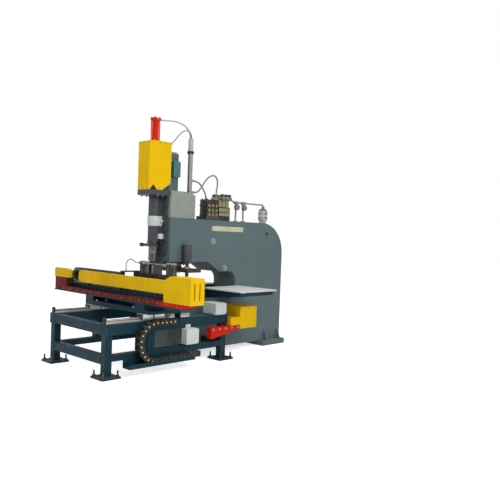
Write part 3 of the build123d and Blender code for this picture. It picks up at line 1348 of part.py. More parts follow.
NODES = {
    "c_frame": c_frame,
    "frame_trunnions": frame_trunnions,
    "punch_cylinder": punch_cylinder,
    "punch_ram": punch_ram,
    "punch": punch,
    "stripper_plate": stripper_plate,
    "hold_down_cylinders": hold_down_cylinders,
    "die_holder": die_holder,
    "die": die,
    "drill_bracket": drill_bracket,
    "spindle_housing": spindle_housing,
    "housing_band": housing_band,
    "quill": quill,
    "quill_arm": quill_arm,
    "spindle": spindle,
    "drill_bit": drill_bit,
    "sensor_box": sensor_box,
    "gear_housing": gear_housing,
    "head_cover": head_cover,
    "feed_cylinder": feed_cylinder,
    "drill_motor": drill_motor,
    "hose_mast": hose_mast,
    "feed_hose": feed_hose,
    "motor_lead": motor_lead,
    "supply_hose": supply_hose,
    "return_hose": return_hose,
    "manifold": manifold,
    "valve_bank": valve_bank,
    "pressure_pipe": pressure_pipe,
    "accumulator": accumulator,
    "table_base": table_base,
    "levelling_bolts": levelling_bolts,
    "y_rails": y_rails,
    "y_guide_blocks": y_guide_blocks,
    "y_bearing_blocks": y_bearing_blocks,
    "y_ball_screw": y_ball_screw,
    "y_servo_motor": y_servo_motor,
    "y_drive_cover": y_drive_cover,
    "y_drive_bracket": y_drive_bracket,
    "y_drag_chain": y_drag_chain,
    "chain_tray": chain_tray,
    "junction_box_upper": junction_box_upper,
    "junction_box_lower": junction_box_lower,
    "support_plates": support_plates,
    "support_brackets": support_brackets,
    "saddle": saddle,
    "beam_base": beam_base,
    "x_beam": x_beam,
    "x_rails": x_rails,
    "x_ball_screw": x_ball_screw,
    "beam_cover": beam_cover,
    "end_cap": end_cap,
    "motor_box": motor_box,
    "x_servo_motor": x_servo_motor,
    "x_drag_chain": x_drag_chain,
    "x_carriage": x_carriage,
    "clamp_bodies": clamp_bodies,
    "clamp_jaw_left": lambda: clamp_jaw(CLAMP_PLACES[0]),
    "clamp_jaw_right": lambda: clamp_jaw(CLAMP_PLACES[1]),
    "clamp_hose": clamp_hose,
}

os.makedirs("parts", exist_ok=True)
for node, build in NODES.items():
    export_step(build(), os.path.join("parts", node + ".step"))
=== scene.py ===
"""Finishes, fasteners, hoses, cable chains and screws for a plate punching and drilling machine."""
import math

import bmesh
import bpy
from bpy.props import FloatProperty, FloatVectorProperty, IntProperty, PointerProperty
from mathutils import Matrix, Vector


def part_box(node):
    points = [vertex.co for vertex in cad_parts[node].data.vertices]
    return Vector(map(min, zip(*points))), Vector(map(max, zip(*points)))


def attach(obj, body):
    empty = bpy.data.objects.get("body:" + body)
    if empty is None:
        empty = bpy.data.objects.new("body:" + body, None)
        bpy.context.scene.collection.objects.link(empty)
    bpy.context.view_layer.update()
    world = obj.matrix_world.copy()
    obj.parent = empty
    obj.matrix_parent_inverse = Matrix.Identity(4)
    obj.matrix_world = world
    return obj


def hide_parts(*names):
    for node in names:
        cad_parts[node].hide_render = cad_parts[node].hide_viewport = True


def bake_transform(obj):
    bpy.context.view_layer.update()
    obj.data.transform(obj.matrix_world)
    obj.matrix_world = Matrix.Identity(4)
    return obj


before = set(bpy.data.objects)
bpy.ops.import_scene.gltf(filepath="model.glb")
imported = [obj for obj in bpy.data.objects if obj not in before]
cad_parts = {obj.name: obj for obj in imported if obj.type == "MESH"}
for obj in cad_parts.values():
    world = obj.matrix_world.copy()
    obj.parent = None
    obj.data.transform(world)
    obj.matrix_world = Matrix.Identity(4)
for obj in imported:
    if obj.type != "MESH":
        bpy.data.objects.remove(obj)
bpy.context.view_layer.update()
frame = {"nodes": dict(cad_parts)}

bl_info = {
    "name": "Plate punching and drilling machine",
    "version": (1, 0, 0),
    "blender": (4, 5, 0),
    "location": "View3D > Sidebar > Machine",
    "description": "Dresses the machine's solids with finishes, fasteners, hoses, chains and screws",
    "category": "Object",
}

FULL_TURN = 2 * math.pi
HERE = Matrix.Identity(4)
RIGHT = Vector((1, 0, 0))
LEFT = Vector((-1, 0, 0))
BACK = Vector((0, 1, 0))
FORWARD = Vector((0, -1, 0))
UP = Vector((0, 0, 1))
DOWN = Vector((0, 0, -1))

# The Y rails and the legs under them stand this far from the middle.
RAIL_X = 0.485
SMOOTH_LIMIT = math.radians(35)


def srgb(red, green, blue):
    """Linear colour of an 8-bit one."""
    shares = [level / 255 for level in (red, green, blue)]
    return tuple(s / 12.92 if s <= 0.04045 else ((s + 0.055) / 1.055) ** 2.4 for s in shares)


def colour(name, description, default):
    """Colour that a user may change."""
    return FloatVectorProperty(
        name=name, description=description, subtype="COLOR", size=3, min=0, max=1, default=default
    )


def length(name, description, default):
    """Length that a user may change, in metres."""
    return FloatProperty(name=name, description=description, unit="LENGTH", min=0, default=default)


def angle(name, description, degrees):
    """Angle that a user may change."""
    return FloatProperty(name=name, description=description, subtype="ANGLE", default=math.radians(degrees))


def power(name, description, default):
    """Power of a lamp that a user may change, in watts."""
    return FloatProperty(name=name, description=description, unit="POWER", default=default)


class MachinePaints(bpy.types.PropertyGroup):
    """Colours of the machine's finishes."""

    frame: colour("Frame", "Grey-green paint of the C-frame", srgb(90, 107, 110))
    bracket: colour("Bracket", "Pale grey-green paint of the drill bracket", srgb(144, 152, 144))
    base: colour("Base", "Dark teal paint of the table", srgb(18, 52, 64))
    yellow: colour("Yellow", "Yellow paint of the covers", srgb(238, 192, 0))
    red: colour("Red", "Red paint of the feed cylinder and the drive bracket", srgb(214, 36, 8))
    # Painted shade together with oil grime: the beam base's red is darkened where the cover above shades it.
    shaded_red: colour("Dull red", "Oiled red paint of the beam base", srgb(104, 32, 28))
    ochre: colour("Ochre", "Shaded yellow behind the louvres", srgb(176, 112, 6))
    teal: colour("Teal", "Paint of the terminal box", srgb(64, 112, 114))
    olive: colour("Olive", "Plated valve bodies", srgb(148, 140, 110))
    head: colour("Head", "Charcoal paint of the drill head", srgb(68, 70, 78))
    white: colour("White", "Paint of the junction boxes", srgb(206, 214, 212))
    motor: colour("Motor", "Slate blue paint of the drill motor", srgb(84, 100, 112))
    tank: colour("Accumulator", "Paint of the accumulator", srgb(196, 190, 184))
    label: colour("Label", "Bare cream plate on the frame's side", srgb(198, 196, 168))
    rust: colour("Rust", "Browned dome of the accumulator", srgb(122, 94, 84))
    plate: colour("Plate", "Pale steel of the plate supports", srgb(226, 227, 224))
    tool: colour("Tool", "Oiled steel of the spindle", srgb(104, 97, 90))
    steel: colour("Steel", "Ground steel of rails, rods and plates", srgb(204, 204, 200))
    iron: colour("Iron", "Oiled iron of the press and the carriage", srgb(56, 52, 50))
    zinc: colour("Zinc", "Plated pipe and mast", srgb(138, 140, 140))
    brass: colour("Brass", "Chain pins", srgb(206, 184, 116))
    chain: colour("Chain", "Moulded chain links", srgb(30, 32, 33))
    rubber: colour("Rubber", "Hoses", srgb(122, 125, 126))
    pale: colour("Pale", "Feed hose and mast sleeve", srgb(176, 178, 176))
    black: colour("Black", "Servo motors, plugs and seals", srgb(36, 38, 41))


class MachineSizes(bpy.types.PropertyGroup):
    """Sizes of the pieces that dress the solids."""

    edge: length("Edge", "Rounding of the solids' edges", 0.002)
    frame_bolt: length("Frame bolt", "Thread of the large hexagon bolts", 0.020)
    head_bolt: length("Head bolt", "Thread of the drill head's bolts", 0.014)
    cover_screw: length("Cover screw", "Thread of the sheet covers' screws", 0.008)
    weld: length("Weld", "Radius of the weld beads", 0.005)
    screw_pitch: length("Screw pitch", "Lead of the Y ball screw's thread", 0.040)
    fins: IntProperty(name="Fins", description="Cooling fins round the drill motor", min=3, default=32)
    flutes_turn: angle("Flute turn", "Twist of the drill's flutes", 1080)


class MachineStage(bpy.types.PropertyGroup):
    """Camera, lamps and floor."""

    eye: FloatVectorProperty(
        name="Eye", description="Place of the camera", subtype="TRANSLATION", default=(5.3946, -4.6642, 1.420)
    )
    heading: angle("Heading", "Turn of the view from +Y", 43.29)
    pitch: angle("Pitch", "Tilt of the view", -1.33)
    roll: angle("Roll", "Roll of the view", 2.04)
    lens: FloatProperty(name="Lens", description="Focal length", subtype="DISTANCE_CAMERA", default=42.93)
    key: power("Key", "Lamp on the right", 215)
    fill: power("Fill", "Lamp in front", 45)
    top: power("Top", "Lamp overhead", 120)
    sky: FloatProperty(name="Sky", description="Strength of the light all round", min=0, default=0.42)
    glow: FloatProperty(name="Glow", description="Lift of the floor towards white", min=0, default=0.66)
    floor: colour("Floor", "Pale floor", srgb(245, 245, 245))


class Graph:
    """Nodes of a material or a node group, wired as they are added."""

    def __init__(self, tree):
        self.tree = tree
        tree.nodes.clear()

    def add(self, kind, values=None, **settings):
        """Adds a node. A value that is a socket is linked, any other is set."""
        made = self.tree.nodes.new(kind)
        for name, value in settings.items():
            setattr(made, name, value)
        for name, value in (values or {}).items():
            if isinstance(value, bpy.types.NodeSocket):
                self.tree.links.new(value, made.inputs[name])
            else:
                made.inputs[name].default_value = value
        return made

    def math(self, operation, first, second=0.0):
        """Result of a sum on two numbers."""
        return self.add("ShaderNodeMath", {0: first, 1: second}, operation=operation).outputs[0]

    def ramp(self, value, low, high, start=0.0, end=1.0):
        """The value's stretch from low to high, spread smoothly from start to end."""
        limits = {"From Min": low, "From Max": high, "To Min": start, "To Max": end}
        made = self.add("ShaderNodeMapRange", {"Value": value, **limits}, interpolation_type="SMOOTHSTEP")
        return made.outputs["Result"]

    def mix(self, share, first, second, blend_type="MIX"):
        """Colour between two others."""
        values = {0: share, 6: first, 7: second}
        return self.add("ShaderNodeMix", values, data_type="RGBA", blend_type=blend_type).outputs[2]

    def place(self, stretch):
        """Object coordinates, stretched."""
        where = self.add("ShaderNodeTexCoord").outputs["Object"]
        return self.add("ShaderNodeMapping", {"Vector": where, "Scale": stretch}).outputs["Vector"]

    def noise(self, scale, detail, stretch=(1, 1, 1)):
        """Noise over the piece, from 0 to 1."""
        values = {"Vector": self.place(stretch), "Scale": scale, "Detail": detail, "Roughness": 0.55}
        return self.add("ShaderNodeTexNoise", values).outputs["Fac"]


NUMBER = "NodeSocketFloat"
TINT = "NodeSocketColor"
GREY = (0.5, 0.5, 0.5, 1)
SURFACE = (("Colour", TINT), ("Metal", NUMBER), ("Roughness", NUMBER), ("Height", NUMBER))


def start_group(name, **amounts):
    """Empty node group that takes a colour and named amounts, as its graph and its inputs' sockets."""
    tree = bpy.data.node_groups.new(name, "ShaderNodeTree")
    graph = Graph(tree)
    sockets = [("Colour", TINT, GREY)] + [(label, NUMBER, amount) for label, amount in amounts.items()]
    for label, kind, default in sockets:
        tree.interface.new_socket(name=label, in_out="INPUT", socket_type=kind).default_value = default
    for label, kind in SURFACE:
        tree.interface.new_socket(name=label, in_out="OUTPUT", socket_type=kind)
    return graph, graph.add("NodeGroupInput").outputs


def edge_mask(graph, reach):
    """Mask of the surface within reach of an edge."""
    rounded = graph.add("ShaderNodeBevel", {"Radius": reach}, samples=4).outputs["Normal"]
    flat = graph.add("ShaderNodeNewGeometry").outputs["Normal"]
    along = graph.add("ShaderNodeVectorMath", {0: rounded, 1: flat}, operation="DOT_PRODUCT").outputs["Value"]
    return graph.ramp(graph.math("SUBTRACT", 1.0, along), 0.01, 0.2)


def dust_mask(graph, amount):
    """Mask of dust settled on what faces up."""
    normal = graph.add("ShaderNodeNewGeometry").outputs["Normal"]
    height = graph.add("ShaderNodeSeparateXYZ", {"Vector": normal}).outputs["Z"]
    patches = graph.ramp(graph.noise(9, 5), 0.3, 0.7, 0.35, 1.0)
    lying = graph.math("MULTIPLY", graph.ramp(height, 0.55, 0.98), patches)
    return graph.math("MULTIPLY", lying, amount)


def paint_film():
    """Sprayed paint: broad tone, faint runs, chipped edges that are also lightened as a painted highlight,
    settled dust and a fine orange peel.
    """
    graph, given = start_group("paint_film", Gloss=0.6, Chips=0.5, Dust=0.3)
    tone = graph.ramp(graph.noise(2.6, 5), 0.25, 0.75, 0.9, 1.06)
    runs = graph.ramp(graph.noise(3, 4, (4, 4, 0.7)), 0.4, 0.85, 1.0, 0.95)
    level = graph.math("MULTIPLY", tone, runs)
    shade = graph.add("ShaderNodeCombineColor", {0: level, 1: level, 2: level}).outputs[0]
    tinted = graph.mix(1.0, given["Colour"], shade, "MULTIPLY")
    breaks = graph.ramp(graph.noise(75, 6), 0.5, 0.6)
    broken_edges = graph.math("MULTIPLY", edge_mask(graph, 0.006), breaks)
    chips_and_highlights = graph.math("MULTIPLY", broken_edges, given["Chips"])
    # Edges go pale: chipped paint, and a painted highlight along the edges.
    pale = graph.mix(0.45, given["Colour"], (0.75, 0.75, 0.72, 1))
    chipped_and_highlit = graph.mix(chips_and_highlights, tinted, pale)
    dust = dust_mask(graph, given["Dust"])
    peel = graph.noise(260, 2)
    smudge = graph.ramp(graph.noise(11, 4), 0.3, 0.75, 0.0, 0.16)
    base = graph.math("SUBTRACT", 0.95, given["Gloss"])
    dull = graph.math("ADD", graph.math("ADD", base, smudge), graph.math("MULTIPLY", dust, 0.25))
    graph.add("NodeGroupOutput", {
        "Colour": graph.mix(graph.math("MULTIPLY", dust, 0.5), chipped_and_highlit, (0.5, 0.49, 0.46, 1)),
        "Metal": graph.math("MULTIPLY", chips_and_highlights, 0.3),
        "Roughness": dull,
        "Height": graph.math("ADD", graph.math("MULTIPLY", peel, 0.35), graph.math("MULTIPLY", chips_and_highlights, -0.6)),
    })


def ground_metal():
    """Ground or turned metal: fine lines, dull patches and a little oil."""
    graph, given = start_group("ground_metal", Oil=0.3, Dull=0.3)
    lines = graph.noise(140, 2, (0.06, 1, 1))
    patches = graph.ramp(graph.noise(7, 5), 0.3, 0.72)
    oil = graph.math("MULTIPLY", graph.ramp(graph.noise(4, 6), 0.48, 0.75), given["Oil"])
    worn = graph.mix(graph.math("MULTIPLY", patches, 0.22), given["Colour"], (0.3, 0.29, 0.27, 1))
    streaked = graph.math("MULTIPLY", graph.ramp(lines, 0.2, 0.8), 0.14)
    uneven = graph.math("ADD", streaked, graph.math("MULTIPLY", patches, 0.12))
    graph.add("NodeGroupOutput", {
        "Colour": graph.mix(oil, worn, (0.06, 0.05, 0.04, 1)),
        "Metal": graph.math("SUBTRACT", 1.0, graph.math("MULTIPLY", oil, 0.4)),
        "Roughness": graph.math("ADD", given["Dull"], uneven),
        "Height": lines,
    })


def moulded_skin():
    """Moulded plastic or rubber: a fine grain, scuffs at the edges and dust."""
    graph, given = start_group("moulded_skin", Dull=0.5, Dust=0.3)
    grain = graph.noise(420, 2)
    cloudy = graph.ramp(graph.noise(13, 4), 0.3, 0.75)
    scuffs = graph.math("MULTIPLY", edge_mask(graph, 0.003), graph.ramp(graph.noise(60, 5), 0.4, 0.65))
    marked = graph.mix(graph.math("MULTIPLY", scuffs, 0.35), given["Colour"], (0.24, 0.24, 0.24, 1))
    dust = dust_mask(graph, given["Dust"])
    graph.add("NodeGroupOutput", {
        "Colour": graph.mix(graph.math("MULTIPLY", dust, 0.45), marked, (0.36, 0.35, 0.33, 1)),
        "Roughness": graph.math("ADD", given["Dull"], graph.math("MULTIPLY", cloudy, 0.2)),
        "Height": grain,
    })


# Strength and depth of each coat's relief.
RELIEF = {"paint_film": (0.12, 0.0006), "ground_metal": (0.1, 0.0003), "moulded_skin": (0.15, 0.0003)}

# Colour, gloss, chips with painted edge highlights, dust and shine of each paint.
PAINTED = {
    "frame_paint": ("frame", 0.5, 0.5, 0.35, 0.3),
    "bracket_paint": ("bracket", 0.5, 0.4, 0.3, 0.3),
    "base_paint": ("base", 0.5, 0.4, 0.2, 0.15),
    "yellow_paint": ("yellow", 0.45, 0.2, 0.03, 0.1),
    "red_paint": ("red", 0.4, 0.25, 0.03, 0.1),
    "beam_red": ("shaded_red", 0.4, 0.3, 0.1, 0.15),
    # Painted shade: the covers' yellow darkened to stand for the shade in the louvre slots.
    "ochre_paint": ("ochre", 0.4, 0.2, 0.0, 0.3),
    "teal_paint": ("teal", 0.5, 0.3, 0.2, 0.3),
    "dark_paint": ("head", 0.5, 0.5, 0.2, 0.3),
    "white_paint": ("white", 0.55, 0.25, 0.1, 0.3),
    "motor_paint": ("motor", 0.5, 0.4, 0.3, 0.3),
    "tank_paint": ("tank", 0.55, 0.3, 0.2, 0.3),
    "label_plate": ("label", 0.55, 0.2, 0.0, 0.3),
}

# Paints that pass into a second colour: that colour, the axis, and where it starts and ends.
# The beam base's darker red is painted shade under the cover, with oil grime; it turns bright red towards its
# right end.
TURNING = {"beam_red": ("red", "X", 0.62, 0.95), "tank_paint": ("rust", "Z", 1.742, 1.766)}

# Colour, oil, dullness and, where it is even, the metallic share of each metal.
BARE_METAL = {
    "bright_steel": ("steel", 0.12, 0.24, None),
    "plate_steel": ("plate", 0.2, 0.42, 0.25),
    "tool_steel": ("tool", 0.5, 0.3, None),
    "cast_parts": ("iron", 0.7, 0.36, None),
    "zinc_plate": ("zinc", 0.1, 0.34, None),
    "olive_plate": ("olive", 0.3, 0.42, None),
    "brass": ("brass", 0.1, 0.3, None),
}

# Colour, dullness and dust of each moulding.
MOULDED = {
    "chain_black": ("chain", 0.42, 0.5),
    "hose_rubber": ("rubber", 0.5, 0.25),
    "pale_skin": ("pale", 0.5, 0.1),
    "motor_black": ("black", 0.36, 0.35),
}


def fade(graph, tint, far_tint, axis, start, end):
    """Colour that passes into another along an axis of the machine."""
    where = graph.add("ShaderNodeTexCoord").outputs["Object"]
    along = graph.add("ShaderNodeSeparateXYZ", {"Vector": where}).outputs[axis]
    return graph.mix(graph.ramp(along, start, end), (*tint, 1), (*far_tint, 1))


def finish(name, coat, tint, amounts, turning=None, metallic=None, shine=0.3):
    """Material that takes its colour, roughness and relief from a shared node group."""
    material = bpy.data.materials.get(name) or bpy.data.materials.new(name)
    material.use_nodes = True
    graph = Graph(material.node_tree)
    base = fade(graph, tint, *turning) if turning else (*tint, 1)
    skin = graph.add("ShaderNodeGroup", node_tree=bpy.data.node_groups[coat])
    for label, value in {"Colour": base, **amounts}.items():
        if isinstance(value, bpy.types.NodeSocket):
            graph.tree.links.new(value, skin.inputs[label])
        else:
            skin.inputs[label].default_value = value
    strength, depth = RELIEF[coat]
    relief = {"Height": skin.outputs["Height"], "Strength": strength, "Distance": depth}
    shader = graph.add("ShaderNodeBsdfPrincipled", {
        "Base Color": skin.outputs["Colour"],
        "Roughness": skin.outputs["Roughness"],
        "Metallic": skin.outputs["Metal"] if metallic is None else metallic,
        "Specular IOR Level": shine,
        "Normal": graph.add("ShaderNodeBump", relief).outputs["Normal"],
    })
    graph.add("ShaderNodeOutputMaterial", {"Surface": shader.outputs["BSDF"]})
    material.diffuse_color = (*tint, 1)


def make_finishes(paints):
    """Makes every finish of the machine."""
    for build in (paint_film, ground_metal, moulded_skin):
        build()
    for name, (tint, gloss, chips_and_highlights, dust, shine) in PAINTED.items():
        turning = None
        if name in TURNING:
            far_tint, *stretch = TURNING[name]
            turning = (getattr(paints, far_tint), *stretch)
        amounts = {"Gloss": gloss, "Chips": chips_and_highlights, "Dust": dust}
        finish(name, "paint_film", getattr(paints, tint), amounts, turning, shine=shine)
    for name, (tint, oil, dull, metallic) in BARE_METAL.items():
        finish(name, "ground_metal", getattr(paints, tint), {"Oil": oil, "Dull": dull}, metallic=metallic)
    for name, (tint, dull, dust) in MOULDED.items():
        finish(name, "moulded_skin", getattr(paints, tint), {"Dull": dull, "Dust": dust}, metallic=0.0)


def join(bm, part, places=(HERE,), finish_index=0):
    """Adds a finished part to a piece at each place, and frees it."""
    for face in part.faces:
        face.material_index = max(face.material_index, finish_index)
    mesh = bpy.data.meshes.new("part")
    part.to_mesh(mesh)
    part.free()
    for place in places:
        first = len(bm.verts)
        bm.from_mesh(mesh)
        bm.verts.ensure_lookup_table()
        bmesh.ops.transform(bm, matrix=place, verts=bm.verts[first:])
    bpy.data.meshes.remove(mesh)


def facing(point, direction):
    """Place at a point, with Z turned to a direction."""
    return Matrix.Translation(point) @ Vector(direction).to_track_quat("Z", "Y").to_matrix().to_4x4()


def seated(points, way):
    """Places at points, all facing one way."""
    return [facing(point, way) for point in points]


def on_both_sides(points):
    """Places at points that face right, and at their mirrored points that face left."""
    return seated(points, RIGHT) + seated([(-x, y, z) for x, y, z in points], LEFT)


def spread(start, end, count):
    """Points at equal steps from start to end."""
    start, end = Vector(start), Vector(end)
    return [start.lerp(end, number / (count - 1)) for number in range(count)]


def inset_corners(low, high, margin):
    """Corners of a rectangle given by two limits each way, moved in by a margin."""
    return [
        (first, second)
        for first in (low[0] + margin, high[0] - margin)
        for second in (low[1] + margin, high[1] - margin)
    ]


def turns_round(axis, count):
    """Places turned round an upright axis, at equal steps."""
    angles = [FULL_TURN * number / count for number in range(count)]
    return [Matrix.Translation(axis) @ Matrix.Rotation(a, 4, "Z") for a in angles]


def ring(centre, axis, radius, count):
    """Places round an axis, facing along it."""
    turn = facing(centre, axis)
    angles = [FULL_TURN * number / count for number in range(count)]
    return [turn @ Matrix.Translation((radius * math.cos(a), radius * math.sin(a), 0)) for a in angles]


def round_off(bm, edges, width, segments=2):
    """Rounds edges."""
    bmesh.ops.bevel(
        bm, geom=edges, offset=width, offset_type="OFFSET", segments=segments, profile=0.5, affect="EDGES",
        clamp_overlap=True, material=-1,
    )


def block(low, high, edge=0.0, corner=0.0, along=None):
    """Block between two corners. The edges along one axis get a corner radius, then all are eased."""
    part = bmesh.new()
    low, high = Vector(low), Vector(high)
    scale = Matrix.Diagonal((*(high - low), 1))
    bmesh.ops.create_cube(part, size=1, matrix=Matrix.Translation((low + high) / 2) @ scale)
    if corner:
        runs = [e for e in part.edges if abs((e.verts[0].co - e.verts[1].co).normalized()[along]) > 0.9]
        round_off(part, runs, corner, 4)
    if edge:
        sharp = [e for e in part.edges if e.calc_face_angle(0) > math.radians(50)]
        round_off(part, sharp, edge)
    return part


def bar(start, end, radius, edge, sides):
    """Bar from one point to another, with its rims eased."""
    start, end = Vector(start), Vector(end)
    part = bmesh.new()
    depth = (end - start).length
    bmesh.ops.create_cone(part, cap_ends=True, segments=sides, radius1=radius, radius2=radius, depth=depth)
    rims = [e for e in part.edges if any(len(f.verts) > 4 for f in e.link_faces)]
    round_off(part, rims, edge)
    bmesh.ops.transform(part, matrix=facing((start + end) / 2, end - start), verts=part.verts)
    return part


def nut(start, end, radius, edge=0.001):
    """Hexagon nut from one face to the other."""
    return bar(start, end, radius, edge, 6)


def turn_outward(bm):
    """Turns every face of a closed mesh to the outside."""
    bmesh.ops.recalc_face_normals(bm, faces=bm.faces)
    if bm.calc_volume(signed=True) < 0:
        bmesh.ops.reverse_faces(bm, faces=bm.faces)


def turned(outline, place, sides):
    """Solid turned about Z from its (radius, height) outline, then put in its place."""
    part = bmesh.new()
    verts = [part.verts.new((radius, 0, height)) for radius, height in outline]
    edges = [part.edges.new(pair) for pair in zip(verts, verts[1:])]
    bmesh.ops.spin(
        part, geom=verts + edges, cent=(0, 0, 0), axis=(0, 0, 1), angle=FULL_TURN, steps=sides, use_merge=True
    )
    bmesh.ops.remove_doubles(part, verts=part.verts, dist=1e-6)
    turn_outward(part)
    bmesh.ops.transform(part, matrix=place, verts=part.verts)
    return part


def band(outline, place, sides):
    """Open ring turned about Z from the outline of its section."""
    return turned([*outline, outline[0]], place, sides)


def hexagon_bolt(thread):
    """Bolt head with a chamfered hexagon on a washer, standing on Z = 0."""
    part = bar((0, 0, 0), (0, 0, 0.14 * thread), 1.05 * thread, 0.03 * thread, 20)
    join(part, nut((0, 0, 0.14 * thread), (0, 0, 0.8 * thread), 0.88 * thread, 0.08 * thread))
    join(part, bar((0, 0, 0.8 * thread), (0, 0, 1.0 * thread), 0.48 * thread, 0.06 * thread, 14))
    return part


def socket_screw(thread):
    """Cap screw with a hexagon socket, standing on Z = 0."""
    part = bar((0, 0, 0), (0, 0, 0.9 * thread), 0.75 * thread, 0.08 * thread, 18)
    top = max(part.faces, key=lambda face: face.calc_center_median().z)
    bmesh.ops.inset_region(part, faces=[top], thickness=0.28 * thread)
    bmesh.ops.inset_region(part, faces=[top], thickness=0.02 * thread, depth=-0.5 * thread)
    return part


def pan_screw(thread):
    """Low domed screw with a cross slot, standing on Z = 0."""
    dome = [(0, 0), (thread, 0), (thread, 0.15 * thread), (0.7 * thread, 0.5 * thread), (0, 0.6 * thread)]
    part = turned(dome, HERE, 16)
    half, side, low, high = (share * thread for share in (0.5, 0.09, 0.5, 0.62))
    for turn in (0, math.pi / 2):
        slot = block((-half, -side, low), (half, side, high))
        bmesh.ops.rotate(slot, matrix=Matrix.Rotation(turn, 3, "Z"), verts=slot.verts)
        join(part, slot, finish_index=1)
    return part


def put(name, data):
    """Object that shows a mesh, a curve, a lamp or a camera in the scene."""
    made = bpy.data.objects.new(name, data)
    bpy.context.scene.collection.objects.link(made)
    return made


def piece(name, bm, body, finishes):
    """Makes a mesh an object of the machine that rides on a body, if one is given."""
    mesh = bpy.data.meshes.new(name)
    bm.to_mesh(mesh)
    bm.free()
    for label in finishes:
        mesh.materials.append(bpy.data.materials[label])
    mesh.polygons.foreach_set("use_smooth", [True] * len(mesh.polygons))
    mesh.set_sharp_from_angle(angle=SMOOTH_LIMIT)
    made = put(name, mesh)
    if body:
        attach(made, body)
    return made


def fasteners(name, body, head, places, finishes=("zinc_plate", "motor_black")):
    """Like fasteners of one body as one piece."""
    bm = bmesh.new()
    join(bm, head, places)
    piece(name, bm, body, finishes)


def stand_in(node):
    """Shows a piece in the place of a solid."""
    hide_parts(node)


class Dressing:
    """Shared by the machine's operators."""

    bl_options = {"REGISTER", "UNDO"}


class MACHINE_OT_finishes(Dressing, bpy.types.Operator):
    """Gives every solid its finish and eases its edges"""

    bl_idname = "machine.finishes"
    bl_label = "Finishes"

    OWN_FINISH = {
        "drill_motor": "motor_paint",
        "accumulator": "tank_paint",
        "beam_base": "beam_red",
        "valve_bank": "olive_plate",
        "manifold": "cast_parts",
        "x_carriage": "cast_parts",
        "clamp_bodies": "cast_parts",
        "stripper_plate": "cast_parts",
        "punch_ram": "tool_steel",
        "spindle": "tool_steel",
        "quill": "tool_steel",
        "levelling_bolts": "cast_parts",
        "support_plates": "plate_steel",
        "frame_trunnions": "bracket_paint",
        "hose_mast": "zinc_plate",
        "pressure_pipe": "zinc_plate",
        "y_ball_screw": "bright_steel",
        "x_ball_screw": "bright_steel",
    }
    SEAM_GAP = 0.00005
    EASED_ANGLE = math.radians(40)

    def execute(self, context):
        make_finishes(context.scene.machine_paints)
        for name, solid in frame["nodes"].items():
            for slot in solid.material_slots:
                label = self.OWN_FINISH.get(name, slot.material.name.split(".")[0])
                slot.material = bpy.data.materials[label]
            weld = solid.modifiers.new("weld", "WELD")
            weld.merge_threshold = self.SEAM_GAP
            ease = solid.modifiers.new("ease", "BEVEL")
            ease.width = context.scene.machine_sizes.edge
            ease.segments = 2
            ease.limit_method = "ANGLE"
            ease.angle_limit = self.EASED_ANGLE
            ease.use_clamp_overlap = True
        return {"FINISHED"}


